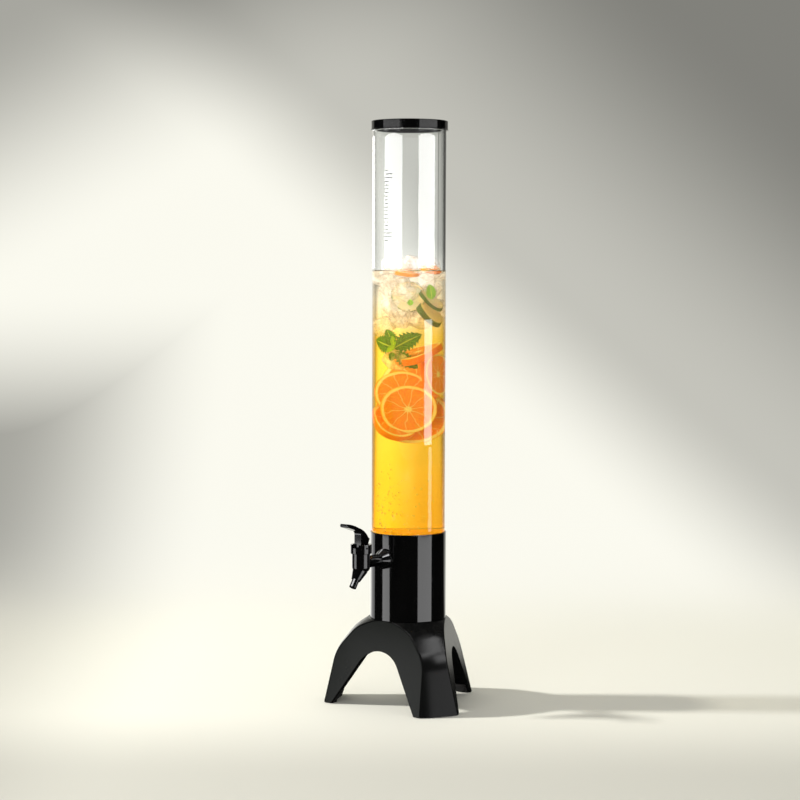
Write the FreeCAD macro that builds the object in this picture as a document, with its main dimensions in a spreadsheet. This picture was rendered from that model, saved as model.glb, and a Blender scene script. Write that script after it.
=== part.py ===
"""Three-litre beer tower dispenser with a tripod foot and a lever tap.

Frame: millimetres, +Z up, origin on the tube's axis at the surface the tower
stands on, tap pointing along -Y.
"""
import math
import os
import re

import FreeCAD
import Part
import Sketcher

OUT = "parts"

# Driving dimensions: plain numbers, in millimetres unless the name ends in
# _turns, _count, _share or _angle (degrees). A _rise is measured up and a
# _drop down from the place that carries the piece.
SIZES = {
    # clear tube
    "tube_outer_radius": 45.0,
    "tube_wall": 2.8,
    "tube_length": 513.5,
    # lower cup that the tube stands in
    "cup_outer_radius": 46.6,
    "cup_inner_radius": 42.4,
    "cup_height": 106.5,
    "cup_skirt_height": 6.5,
    "cup_floor_thickness": 4.0,
    "cup_edge_round": 0.6,
    "socket_depth": 17.0,
    "socket_clearance": 0.25,
    "tube_gasket_height": 2.0,
    "cup_boss_radius": 15.0,
    "cup_boss_bore": 10.0,
    "cup_boss_reach": 26.0,
    # tripod base
    "base_height": 105.5,
    "base_floor_radius": 103.2,
    "base_knee_inset": 14.4,
    "base_knee_height": 64.4,
    "base_knee_round": 60.0,
    "base_shoulder_inset": 23.9,
    "base_shoulder_drop": 10.4,
    "base_shoulder_round": 50.0,
    "base_top_margin": 2.7,
    "base_wall": 4.0,
    "base_plate_thickness": 6.0,
    "base_edge_round": 3.0,
    "leg_count": 3,
    "face_distance": 71.7,
    "face_lean_angle": 12.87,
    "arch_apex_height": 69.9,
    "arch_top_radius": 35.6,
    "arch_side_angle": 33.1,
    "spigot_height": 3.5,
    "spigot_wall": 4.0,
    "spigot_clearance": 0.2,
    # rubber foot pads
    "pad_protrusion": 0.8,
    "pad_height": 8.0,
    "pad_width": 15.2,
    # clamp nut under the base
    "boss_hole_clearance": 0.3,
    "base_washer_radius": 24.0,
    "base_washer_thickness": 2.0,
    "base_nut_radius": 22.0,
    "base_nut_thickness": 9.0,
    "base_nut_notch_radius": 3.0,
    "base_nut_notch_offset": 1.0,
    "base_nut_notch_count": 8,
    # lid
    "lid_outer_radius": 46.8,
    "lid_top_thickness": 2.5,
    "lid_skirt_height": 9.0,
    "lid_lip_height": 1.6,
    "lid_lip_flare": 0.5,
    "lid_edge_round": 0.8,
    "lid_clearance": 0.3,
    "lid_plug_wall": 2.4,
    "lid_plug_depth": 9.0,
    "lid_seal_height": 2.4,
    "lid_seal_depth": 1.6,
    "lid_seal_clearance": 0.05,
    "lid_seal_drop": 3.0,
    # tap: barrel, shank and spout
    "tap_reach": 91.3,
    "shank_rise": 76.5,
    "barrel_radius": 11.0,
    "barrel_bore": 8.0,
    "barrel_top_rise": 11.5,
    "seat_drop": 5.5,
    "barrel_bottom_drop": 10.5,
    "barrel_bottom_radius": 7.6,
    "barrel_taper_height": 6.0,
    "barrel_foot_radius": 7.0,
    "shank_radius": 7.0,
    "shank_bore": 4.0,
    "neck_radius": 7.2,
    "flange_radius": 12.0,
    "flange_thickness": 1.5,
    "flange_flare_length": 8.0,
    "shank_inner_reach": 31.8,
    "pad_face_reach": 47.4,
    "inner_pad_reach": 40.6,
    "tap_pad_radius": 12.5,
    "shank_hole_clearance": 0.2,
    "tap_washer_thickness": 1.2,
    "tap_washer_radius": 11.5,
    "lock_nut_flats": 22.0,
    "lock_nut_thickness": 6.0,
    "spout_tilt_angle": 35.0,
    "spout_root_radius": 9.3,
    "spout_end_radius": 5.6,
    "spout_root_offset": 3.0,
    "spout_cone_length": 14.2,
    "spout_bore": 3.4,
    "nozzle_radius": 4.35,
    "nozzle_bore": 2.6,
    "nozzle_stub_bore": 2.8,
    "nozzle_length": 10.3,
    "nozzle_socket_depth": 6.0,
    # bonnet, stem and plug
    "bonnet_radius": 12.8,
    "bonnet_height": 11.1,
    "bonnet_bore": 9.8,
    "bonnet_web_rise": 1.7,
    "bonnet_web_thickness": 3.4,
    "bonnet_spigot_depth": 6.0,
    "bonnet_spigot_wall": 1.8,
    "bonnet_edge_round": 0.5,
    "bonnet_notch_depth": 4.0,
    "fit_clearance": 0.05,
    "stem_radius": 1.3,
    "stem_ball_radius": 2.4,
    "stem_ball_drop": 1.0,
    "stem_collar_radius": 5.0,
    "stem_collar_thickness": 1.2,
    "plug_radius": 5.6,
    "plug_top_radius": 4.6,
    "plug_height": 4.6,
    "plug_socket_depth": 3.2,
    "plug_spigot_radius": 1.7,
    "o_ring_section": 1.6,
    "spring_coil_radius": 3.6,
    "spring_wire_radius": 0.35,
    "spring_turns": 4.0,
    "spring_end_gap": 0.05,
    # lever
    "lever_pin_rise": 7.1,
    "lever_pin_offset": 3.8,
    "lever_pin_radius": 1.2,
    "lever_width": 10.0,
    "lever_side_clearance": 0.4,
    "lever_front": 6.5,
    "lever_back": 7.5,
    "lever_bottom_rise": 1.2,
    "lever_ball_clearance": 0.5,
    "lever_travel_angle": 35.0,
    "lever_hollow_radius": 5.0,
    "blade_width": 12.0,
    "blade_thickness": 4.2,
    "blade_tip_reach": 30.5,
    "blade_tip_rise": 26.9,
    "blade_nose_share": 0.55,
    "blade_top_radius": 75.0,
    "blade_root_rise": 21.0,
    "blade_root_reach": 11.5,
    "lever_crown_radius": 32.0,
    "lever_back_rise": 7.4,
    "lever_back_overhang": 10.0,
    "lever_back_round": 2.0,
}

# Places worked out from the driving dimensions.
PLACES = {
    "tube_inner_radius": "tube_outer_radius - tube_wall",
    "cup_bottom": "base_height",
    "cup_floor_bottom": "cup_bottom + cup_skirt_height",
    "cup_floor_top": "cup_floor_bottom + cup_floor_thickness",
    "cup_top": "cup_bottom + cup_height",
    "socket_floor": "cup_top - socket_depth",
    "socket_radius": "tube_outer_radius + socket_clearance",
    "tube_bottom": "socket_floor + tube_gasket_height",
    "tube_top": "tube_bottom + tube_length",
    "boss_bottom": "cup_floor_bottom - cup_boss_reach",
    "boss_hole_radius": "cup_boss_radius + boss_hole_clearance",
    "ceiling": "base_height - base_plate_thickness",
    "washer_bottom": "ceiling - base_washer_thickness",
    "nut_bottom": "washer_bottom - base_nut_thickness",
    "face_slope": "tan(face_lean_angle * 1 deg)",
    "face_wall": "base_wall / cos(face_lean_angle * 1 deg)",
    "base_top_radius": "cup_outer_radius + base_top_margin",
    "base_knee_radius": "base_floor_radius - base_knee_inset",
    "base_shoulder_radius": "base_knee_radius - base_shoulder_inset",
    "pad_inner_radius": "base_floor_radius - pad_width",
    "base_shoulder_height": "base_height - base_shoulder_drop",
    "leg_taper": "(base_floor_radius - base_knee_radius) / base_knee_height",
    "shoulder_slope": "(base_shoulder_radius - base_top_radius) / (base_height - base_shoulder_height)",
    "arch_centre": "arch_apex_height - arch_top_radius",
    "arch_touch_side": "arch_top_radius * cos(arch_side_angle * 1 deg)",
    "arch_touch_height": "arch_centre + arch_top_radius * sin(arch_side_angle * 1 deg)",
    "arch_floor_half": "arch_touch_side + arch_touch_height * tan(arch_side_angle * 1 deg)",
    "lid_bottom": "tube_top - lid_skirt_height",
    "lid_top": "tube_top + lid_top_thickness",
    "lid_plug_radius": "tube_inner_radius - lid_clearance",
    "seal_top": "tube_top - lid_seal_drop",
    "seal_radius": "tube_inner_radius - lid_seal_clearance",
    "flange_back": "tap_reach - pad_face_reach - tap_washer_thickness",
    "shank_end": "tap_reach - shank_inner_reach",
    "shank_height": "cup_bottom + shank_rise",
    "seat_height": "shank_height - seat_drop",
    "barrel_bottom_height": "shank_height - barrel_bottom_drop",
    "barrel_top_height": "shank_height + barrel_top_rise",
    "bonnet_top": "barrel_top_height + bonnet_height",
    "bonnet_web_top": "barrel_top_height + bonnet_web_rise",
    "web_bottom": "bonnet_web_top - bonnet_web_thickness",
    "lever_pin_height": "barrel_top_height + lever_pin_rise",
    "lever_bottom_height": "bonnet_web_top + lever_bottom_rise",
    "lever_back_height": "bonnet_top + lever_back_rise",
    "blade_root_height": "bonnet_top + blade_root_rise",
    "blade_tip_height": "bonnet_top + blade_tip_rise",
    "plug_bottom": "seat_height + fit_clearance",
    "plug_top": "plug_bottom + plug_height",
    "collar_top": "plug_top + stem_collar_thickness",
    "spring_bottom": "collar_top + spring_end_gap + spring_wire_radius",
    "spring_rise": "web_bottom - spring_end_gap - spring_wire_radius - spring_bottom",
    "spring_half_rise": "spring_rise / spring_turns / 2",
    "spring_tilt": "atan(spring_half_rise / 2 / spring_coil_radius) / 1 deg",
    "ball_height": "lever_pin_height - stem_ball_drop",
    "stem_hole_radius": "stem_radius + fit_clearance",
    "ball_pocket_radius": "stem_ball_radius + lever_ball_clearance",
    "neck_slot_half": "stem_radius + lever_ball_clearance",
    "nozzle_start": "spout_root_offset + spout_cone_length",
}

doc = FreeCAD.newDocument("beer_tower")
nodes = []


def fill_sheet(name, cells):
    """Put each value or formula in column B of a sheet, under its alias."""
    sheet = doc.addObject("Spreadsheet::Sheet", name)
    for row, (alias, content) in enumerate(cells.items(), start=1):
        cell = "B%d" % row
        sheet.set("A%d" % row, alias)
        sheet.setAlias(cell, alias)
        text = str(content)
        sheet.set(cell, text if name == "Sizes" else "=" + bound(text))
    return sheet


def bound(expression):
    """Name the sheet of every alias in an expression."""
    def owner(match):
        word = match.group(0)
        if word in SIZES:
            return "Sizes." + word
        if word in PLACES:
            return "Places." + word
        return word
    return re.sub(r"[a-z][a-z0-9_]*", owner, str(expression))


sizes = fill_sheet("Sizes", SIZES)
places = fill_sheet("Places", PLACES)
doc.recompute()


def value(expression):
    """The present number behind an expression."""
    return float(sizes.evalExpression(bound(expression)))


def tie(target, path, expression):
    """Bind one property of an object to the sheets."""
    target.setExpression(path, bound(expression))


def keep(piece, node):
    """Make an object a sub-part of its own: its label names its file."""
    piece.Label = node
    nodes.append(piece)
    return piece


def set_down(piece, x="0", y="0", z="0", turn_axis=None, turn="0"):
    """Place an object, with an optional turn about one axis in degrees."""
    if turn_axis is not None:
        piece.Placement = FreeCAD.Placement(FreeCAD.Vector(), FreeCAD.Rotation(turn_axis, value(turn)))
        tie(piece, "Placement.Rotation.Angle", "(%s) * 1 deg" % turn)
    tie(piece, "Placement.Base.x", x)
    tie(piece, "Placement.Base.y", y)
    tie(piece, "Placement.Base.z", z)
    return piece


def origin_plane(body, role):
    """One of a body's own origin planes."""
    for feature in body.Origin.OriginFeatures:
        if feature.Role == role:
            return feature
    raise ValueError(role)


def arc_between(start, end, radius, leftward):
    """The short arc from start to end; leftward puts its centre on the left."""
    chord = end - start
    middle = (start + end) / 2
    rise = math.sqrt(max(radius ** 2 - (chord.Length / 2) ** 2, 0.0))
    side = FreeCAD.Vector(-chord.y, chord.x, 0).normalize()
    centre = middle + side * rise * (1 if leftward else -1)
    first, last = (start, end) if leftward else (end, start)
    begin = math.atan2(first.y - centre.y, first.x - centre.x)
    finish = math.atan2(last.y - centre.y, last.x - centre.x)
    circle = Part.Circle(centre, FreeCAD.Vector(0, 0, 1), radius)
    return Part.ArcOfCircle(circle, begin, finish)


def outline(body, role, corners):
    """A closed sketch through corners (across, up[, arc radius, side]).

    The optional pair makes the edge that leaves a corner an arc: its radius
    and whether its centre lies on the left of the way to the next corner.
    """
    sketch = body.newObject("Sketcher::SketchObject", body.Name + "_sketch")
    sketch.AttachmentSupport = [(origin_plane(body, role), "")]
    sketch.MapMode = "FlatFace"
    spots = [FreeCAD.Vector(value(c[0]), value(c[1]), 0) for c in corners]
    starts = []
    for index, corner in enumerate(corners):
        here = spots[index]
        there = spots[(index + 1) % len(spots)]
        if len(corner) == 2:
            sketch.addGeometry(Part.LineSegment(here, there), False)
            starts.append((1, 2))
        else:
            sketch.addGeometry(arc_between(here, there, value(corner[2]), corner[3]), False)
            starts.append((1, 2) if corner[3] else (2, 1))
    for index, (head, tail) in enumerate(starts):
        following = (index + 1) % len(starts)
        sketch.addConstraint(
            Sketcher.Constraint("Coincident", index, tail, following, starts[following][0]))
    for index, corner in enumerate(corners):
        for kind, expression, number in (
                ("DistanceX", corner[0], spots[index].x),
                ("DistanceY", corner[1], spots[index].y)):
            made = sketch.addConstraint(
                Sketcher.Constraint(kind, index, starts[index][0], number))
            tie(sketch, "Constraints[%d]" % made, expression)
        if len(corner) > 2:
            made = sketch.addConstraint(Sketcher.Constraint("Radius", index, value(corner[2])))
            tie(sketch, "Constraints[%d]" % made, corner[2])
    return sketch


def turned(name, corners):
    """A body turned about its own Z axis from a profile of (radius, height)."""
    body = doc.addObject("PartDesign::Body", name)
    sketch = outline(body, "XZ_Plane", corners)
    revolution = body.newObject("PartDesign::Revolution", name + "_turn")
    revolution.Profile = sketch
    revolution.ReferenceAxis = (sketch, ["V_Axis"])
    revolution.Angle = 360.0
    doc.recompute()
    return body


def padded(name, role, corners, width):
    """A body padded both ways from an origin plane."""
    body = doc.addObject("PartDesign::Body", name)
    sketch = outline(body, role, corners)
    pad = body.newObject("PartDesign::Pad", name + "_pad")
    pad.Profile = sketch
    pad.Midplane = True
    tie(pad, "Length", width)
    doc.recompute()
    return body


def rounded(body, radius, picked):
    """Round the edges of a body that a test picks."""
    tip = body.Tip
    names = [
        "Edge%d" % number
        for number, edge in enumerate(tip.Shape.Edges, start=1)
        if picked(edge)
    ]
    fillet = body.newObject("PartDesign::Fillet", body.Name + "_round")
    fillet.Base = (tip, names)
    tie(fillet, "Radius", radius)
    doc.recompute()
    return body


def at_circle(*spots):
    """A test for circular edges at any of the given (radius, height) pairs."""
    wanted = [(value(radius), value(height)) for radius, height in spots]

    def picked(edge):
        if not isinstance(edge.Curve, Part.Circle):
            return False
        centre = edge.Curve.Center
        return any(
            abs(edge.Curve.Radius - radius) < 1e-3 and abs(centre.z - height) < 1e-3
            for radius, height in wanted)
    return picked


def solid(kind, name, **expressions):
    """A Part primitive whose sizes are expressions."""
    made = doc.addObject("Part::" + kind, name)
    for path, expression in expressions.items():
        tie(made, path, expression)
    return made


def fused(name, pieces):
    """One solid from several that meet."""
    made = doc.addObject("Part::MultiFuse", name)
    made.Shapes = pieces
    made.Refine = True
    return made


def cut(name, base, tool):
    """A base with one tool taken out of it."""
    made = doc.addObject("Part::Cut", name)
    made.Base = base
    made.Tool = tool
    made.Refine = True
    return made


def common(name, pieces):
    """What several solids share."""
    made = doc.addObject("Part::MultiCommon", name)
    made.Shapes = pieces
    return made


X_AXIS = FreeCAD.Vector(1, 0, 0)
Y_AXIS = FreeCAD.Vector(0, 1, 0)
Z_AXIS = FreeCAD.Vector(0, 0, 1)


# --- tripod base ------------------------------------------------------------


def leg_angle(number):
    """Turn about Z that carries the first arched face to the numbered one."""
    return "%d * 360 / leg_count" % number


def face_blocks(prefix, inset):
    """Blocks outside the flat leaning faces, moved inward by an inset."""
    blocks = []
    for number in range(int(value("leg_count"))):
        near_floor = "-(face_distance + 2 * base_wall * face_slope - %s)" % inset
        near_top = "-(face_distance - 2 * base_height * face_slope - %s)" % inset
        outside = "-(2 * base_floor_radius)"
        block = padded(
            "%s_block_%d" % (prefix, number + 1), "YZ_Plane",
            [
                (near_floor, "-(2 * base_wall)"),
                (outside, "-(2 * base_wall)"),
                (outside, "2 * base_height"),
                (near_top, "2 * base_height"),
            ],
            "4 * base_floor_radius")
        set_down(block, turn_axis=Z_AXIS, turn=leg_angle(number))
        blocks.append(block)
    return blocks


def flat_edges(shape, distance_margin):
    """Names of the edges where a leaning face meets the turned surface."""
    names = []
    for number, edge in enumerate(shape.Edges, start=1):
        faces = shape.ancestorsOfType(edge, Part.Face)
        kinds = [isinstance(face.Surface, Part.Plane) for face in faces]
        if len(faces) != 2 or all(kinds) or not any(kinds):
            continue
        plane = faces[kinds.index(True)]
        leaning = abs(plane.Surface.Axis.z) < math.sin(math.radians(value("face_lean_angle"))) * 1.01
        if leaning and edge.BoundBox.ZMin < distance_margin:
            names.append(number)
    return names


def make_tripod_base():
    """Hollow three-legged foot with a leaning arched face between the legs."""
    turned_skin = turned(
        "base_skin",
        [
            ("0", "pad_protrusion"),
            ("base_floor_radius - leg_taper * pad_protrusion", "pad_protrusion"),
            ("base_knee_radius", "base_knee_height"),
            ("base_shoulder_radius", "base_shoulder_height"),
            ("base_top_radius", "base_height"),
            ("0", "base_height"),
        ])
    rounded(turned_skin, "base_knee_round", at_circle(("base_knee_radius", "base_knee_height")))
    rounded(turned_skin, "base_shoulder_round",
            at_circle(("base_shoulder_radius", "base_shoulder_height")))
    skin_faces = cut("base_three_faces", turned_skin, fused("face_blocks", face_blocks("face", "0")))
    doc.recompute()

    soft_skin = doc.addObject("Part::Fillet", "base_soft_skin")
    soft_skin.Base = skin_faces
    radius = value("base_edge_round")
    soft_skin.Edges = [
        (number, radius, radius) for number in flat_edges(skin_faces.Shape, value("ceiling"))]
    doc.recompute()
    if not soft_skin.Shape.isValid():
        raise RuntimeError("the base's edges don't round")

    slope_ceiling = (
        "base_shoulder_radius - base_wall"
        " - shoulder_slope * (ceiling - base_shoulder_height + base_wall / 2)")
    turned_cavity = turned(
        "base_cavity",
        [
            ("0", "-base_wall"),
            ("base_floor_radius - base_wall + leg_taper * base_wall", "-base_wall"),
            ("base_knee_radius - base_wall", "base_knee_height - base_wall / 2"),
            ("base_shoulder_radius - base_wall", "base_shoulder_height - base_wall / 2"),
            (slope_ceiling, "ceiling"),
            ("0", "ceiling"),
        ])
    rounded(turned_cavity, "base_knee_round - base_wall",
            at_circle(("base_knee_radius - base_wall", "base_knee_height - base_wall / 2")))
    cavity = cut("base_hollow", turned_cavity, fused("inner_blocks", face_blocks("inner", "face_wall")))

    arches = []
    for number in range(int(value("leg_count"))):
        arch = doc.addObject("PartDesign::Body", "arch_%d" % (number + 1))
        sketch = outline(
            arch, "XZ_Plane",
            [
                ("-(arch_floor_half + base_wall * tan(arch_side_angle * 1 deg))", "-base_wall"),
                ("arch_floor_half + base_wall * tan(arch_side_angle * 1 deg)", "-base_wall"),
                ("arch_touch_side", "arch_touch_height", "arch_top_radius", True),
                ("-arch_touch_side", "arch_touch_height"),
            ])
        pad = arch.newObject("PartDesign::Pad", "arch_pad_%d" % (number + 1))
        pad.Profile = sketch
        tie(pad, "Length", "face_distance + base_wall")
        doc.recompute()
        set_down(arch, turn_axis=Z_AXIS, turn=leg_angle(number))
        arches.append(arch)

    boss_hole = solid("Cylinder", "boss_hole", Radius="boss_hole_radius", Height="2 * base_plate_thickness")
    set_down(boss_hole, z="ceiling - base_plate_thickness / 2")
    archways = fused("archways", arches)
    shell = cut("base_shell", soft_skin, fused("base_voids", [cavity, boss_hole, archways]))
    spigot = turned(
        "base_spigot",
        [
            ("cup_inner_radius - spigot_clearance - spigot_wall", "base_height - base_plate_thickness / 2"),
            ("cup_inner_radius - spigot_clearance", "base_height - base_plate_thickness / 2"),
            ("cup_inner_radius - spigot_clearance", "base_height + spigot_height"),
            ("cup_inner_radius - spigot_clearance - spigot_wall", "base_height + spigot_height"),
        ])
    keep(fused("base", [shell, spigot]), "tripod_base")
    return cavity, archways


def make_foot_pads(cavity, archways):
    """Rubber pads that plug the legs' lower ends and carry the tower."""
    for number, side in enumerate(("right", "back", "left")):
        disc = solid("Cylinder", "pad_disc_%s" % side, Radius="2 * base_floor_radius",
                     Height="pad_height", Angle="360 / leg_count")
        set_down(disc, turn_axis=Z_AXIS, turn="%d * 360 / leg_count - 90" % number)
        core = solid("Cylinder", "pad_core_%s" % side, Radius="pad_inner_radius",
                     Height="2 * pad_height")
        set_down(core, z="-pad_height / 2")
        band = cut("pad_band_%s" % side, disc, core)
        plug = common("pad_plug_%s" % side, [cavity, band])
        keep(cut("pad_%s" % side, plug, archways), "foot_pad_%s" % side)


def make_base_clamp():
    """Washer and round nut that clamp the cup's boss to the base."""
    keep(turned(
        "clamp_washer",
        [
            ("boss_hole_radius", "washer_bottom"),
            ("base_washer_radius", "washer_bottom"),
            ("base_washer_radius", "ceiling"),
            ("boss_hole_radius", "ceiling"),
        ]), "base_washer")
    blank = turned(
        "clamp_nut_blank",
        [
            ("cup_boss_radius", "nut_bottom"),
            ("base_nut_radius", "nut_bottom"),
            ("base_nut_radius", "washer_bottom"),
            ("cup_boss_radius", "washer_bottom"),
        ])
    notches = []
    for number in range(int(value("base_nut_notch_count"))):
        turn = "(%d * 360 / base_nut_notch_count) * 1 deg" % number
        notch = solid("Cylinder", "nut_notch_%d" % (number + 1), Radius="base_nut_notch_radius",
                      Height="2 * base_nut_thickness")
        set_down(
            notch,
            x="(base_nut_radius + base_nut_notch_offset) * cos(%s)" % turn,
            y="(base_nut_radius + base_nut_notch_offset) * sin(%s)" % turn,
            z="nut_bottom - base_nut_thickness / 2")
        notches.append(notch)
    keep(cut("clamp_nut", blank, fused("nut_notches", notches)), "base_clamp_nut")


# --- cup, tube and lid ------------------------------------------------------


def make_lower_cup():
    """Cup with a socket for the tube, a flat pad for the tap and a boss."""
    wall = turned(
        "cup_wall",
        [
            ("0", "cup_floor_top"),
            ("0", "boss_bottom + cup_boss_reach - cup_floor_thickness / 2"),
            ("cup_boss_bore", "boss_bottom + cup_boss_reach - cup_floor_thickness / 2"),
            ("cup_boss_bore", "boss_bottom"),
            ("cup_boss_radius", "boss_bottom"),
            ("cup_boss_radius", "cup_floor_bottom"),
            ("cup_inner_radius", "cup_floor_bottom"),
            ("cup_inner_radius", "cup_bottom"),
            ("cup_outer_radius", "cup_bottom"),
            ("cup_outer_radius", "cup_top"),
            ("socket_radius", "cup_top"),
            ("socket_radius", "socket_floor"),
            ("cup_inner_radius", "socket_floor"),
            ("cup_inner_radius", "cup_floor_top"),
        ])
    rounded(wall, "cup_edge_round",
            at_circle(("cup_outer_radius", "cup_top"), ("cup_outer_radius", "cup_bottom")))
    tap_pad = solid("Cylinder", "tap_pad", Radius="tap_pad_radius",
                    Height="pad_face_reach - inner_pad_reach")
    set_down(tap_pad, y="-pad_face_reach", z="shank_height", turn_axis=X_AXIS, turn="-90")
    shank_hole = solid("Cylinder", "shank_hole", Radius="shank_radius + shank_hole_clearance",
                       Height="2 * (pad_face_reach - inner_pad_reach)")
    set_down(shank_hole, y="-pad_face_reach - tap_washer_thickness", z="shank_height",
             turn_axis=X_AXIS, turn="-90")
    keep(cut("cup", fused("cup_with_pad", [wall, tap_pad]), shank_hole), "lower_cup")


def make_tube():
    """Clear tube and the gasket that it stands on."""
    keep(turned(
        "gasket",
        [
            ("cup_inner_radius", "socket_floor"),
            ("tube_outer_radius", "socket_floor"),
            ("tube_outer_radius", "tube_bottom"),
            ("cup_inner_radius", "tube_bottom"),
        ]), "tube_gasket")
    keep(turned(
        "tube_wall_body",
        [
            ("tube_inner_radius", "tube_bottom"),
            ("tube_outer_radius", "tube_bottom"),
            ("tube_outer_radius", "tube_top"),
            ("tube_inner_radius", "tube_top"),
        ]), "clear_tube")


def make_lid():
    """Push-on lid with an inner plug, and the seal ring in its groove."""
    cap = turned(
        "lid",
        [
            ("0", "tube_top"),
            ("lid_plug_radius - lid_plug_wall", "tube_top"),
            ("lid_plug_radius - lid_plug_wall", "tube_top - lid_plug_depth"),
            ("lid_plug_radius", "tube_top - lid_plug_depth"),
            ("lid_plug_radius", "seal_top - lid_seal_height"),
            ("seal_radius - lid_seal_depth", "seal_top - lid_seal_height"),
            ("seal_radius - lid_seal_depth", "seal_top"),
            ("lid_plug_radius", "seal_top"),
            ("lid_plug_radius", "tube_top"),
            ("tube_outer_radius + lid_clearance", "tube_top"),
            ("tube_outer_radius + lid_clearance", "lid_bottom"),
            ("lid_outer_radius + lid_lip_flare", "lid_bottom"),
            ("lid_outer_radius + lid_lip_flare", "lid_bottom + lid_lip_height / 2"),
            ("lid_outer_radius", "lid_bottom + lid_lip_height"),
            ("lid_outer_radius", "lid_top"),
            ("0", "lid_top"),
        ])
    rounded(cap, "lid_edge_round", at_circle(("lid_outer_radius", "lid_top")))
    keep(cap, "lid_cap")
    keep(turned(
        "seal",
        [
            ("seal_radius - lid_seal_depth", "seal_top - lid_seal_height"),
            ("seal_radius", "seal_top - lid_seal_height"),
            ("seal_radius", "seal_top"),
            ("seal_radius - lid_seal_depth", "seal_top"),
        ]), "lid_seal")


# --- tap --------------------------------------------------------------------


def along_spout(piece, offset):
    """Put a piece on the spout's axis, an offset down from the seat."""
    return set_down(
        piece,
        y="-tap_reach - (%s) * sin(spout_tilt_angle * 1 deg)" % offset,
        z="seat_height - (%s) * cos(spout_tilt_angle * 1 deg)" % offset,
        turn_axis=X_AXIS, turn="180 - spout_tilt_angle")


def along_shank(piece, offset="0"):
    """Put a piece on the shank's axis, an offset in from the barrel's axis."""
    return set_down(piece, y="-tap_reach + %s" % offset, z="shank_height",
                    turn_axis=X_AXIS, turn="-90")


def make_tap_body():
    """Barrel, flanged shank and tilted spout, moulded in one."""
    barrel = turned(
        "barrel",
        [
            ("0", "barrel_bottom_height"),
            ("barrel_bottom_radius", "barrel_bottom_height", "barrel_foot_radius", True),
            ("barrel_radius", "barrel_bottom_height + barrel_taper_height"),
            ("barrel_radius", "barrel_top_height"),
            ("0", "barrel_top_height"),
        ])
    set_down(barrel, y="-tap_reach")
    shank = turned(
        "shank",
        [
            ("0", "0"),
            ("neck_radius", "0"),
            ("neck_radius", "flange_back - flange_thickness - flange_flare_length"),
            ("flange_radius", "flange_back - flange_thickness"),
            ("flange_radius", "flange_back"),
            ("shank_radius", "flange_back"),
            ("shank_radius", "shank_end"),
            ("0", "shank_end"),
        ])
    along_shank(shank)
    cone = solid("Cone", "spout_cone", Radius1="spout_root_radius", Radius2="spout_end_radius",
                 Height="spout_cone_length")
    along_spout(cone, "spout_root_offset")
    outside = fused("tap_outside", [barrel, shank, cone])

    chamber = solid("Cylinder", "valve_chamber", Radius="barrel_bore", Height="barrel_top_height")
    set_down(chamber, y="-tap_reach", z="seat_height")
    way_in = solid("Cylinder", "inlet_way", Radius="shank_bore", Height="2 * shank_end")
    along_shank(way_in)
    way_out = solid("Cylinder", "outlet_way", Radius="spout_bore", Height="2 * nozzle_start")
    along_spout(way_out, "0")
    nozzle_seat = solid("Cylinder", "nozzle_seat", Radius="spout_bore",
                        Height="nozzle_socket_depth")
    along_spout(nozzle_seat, "nozzle_start - nozzle_socket_depth")
    inside = fused("tap_inside", [chamber, way_in, way_out, nozzle_seat])
    keep(cut("tap", outside, inside), "tap_body")


def make_nozzle():
    """Spout tube pushed into the cone's bore."""
    nozzle = turned(
        "nozzle",
        [
            ("nozzle_stub_bore", "-nozzle_socket_depth"),
            ("spout_bore", "-nozzle_socket_depth"),
            ("spout_bore", "0"),
            ("nozzle_radius", "0"),
            ("nozzle_radius", "nozzle_length"),
            ("nozzle_bore", "nozzle_length"),
            ("nozzle_bore", "0"),
            ("nozzle_stub_bore", "0"),
        ])
    keep(along_spout(nozzle, "nozzle_start"), "spout_nozzle")


def shank_ring(node, near, thickness):
    """A washer on the shank, its near side at a distance from the tube's axis."""
    ring = turned(
        node + "_ring",
        [
            ("shank_radius", "0"),
            ("tap_washer_radius", "0"),
            ("tap_washer_radius", thickness),
            ("shank_radius", thickness),
        ])
    keep(along_shank(ring, "tap_reach - (%s)" % near), node)


def make_shank_fittings():
    """Washers each side of the cup's wall and the nut inside the cup."""
    shank_ring("tap_outer_washer", "pad_face_reach + tap_washer_thickness", "tap_washer_thickness")
    shank_ring("tap_inner_washer", "inner_pad_reach", "tap_washer_thickness")
    blank = solid("Prism", "lock_nut_blank",
                  Circumradius="lock_nut_flats / 2 / cos(30 * 1 deg)", Height="lock_nut_thickness")
    blank.Polygon = 6
    nut_near = "inner_pad_reach - tap_washer_thickness"
    along_shank(blank, "tap_reach - (%s)" % nut_near)
    hole = solid("Cylinder", "lock_nut_hole", Radius="shank_radius",
                 Height="2 * lock_nut_thickness")
    along_shank(hole, "tap_reach - (%s) - lock_nut_thickness / 2" % nut_near)
    keep(cut("lock_nut", blank, hole), "tap_lock_nut")


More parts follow.
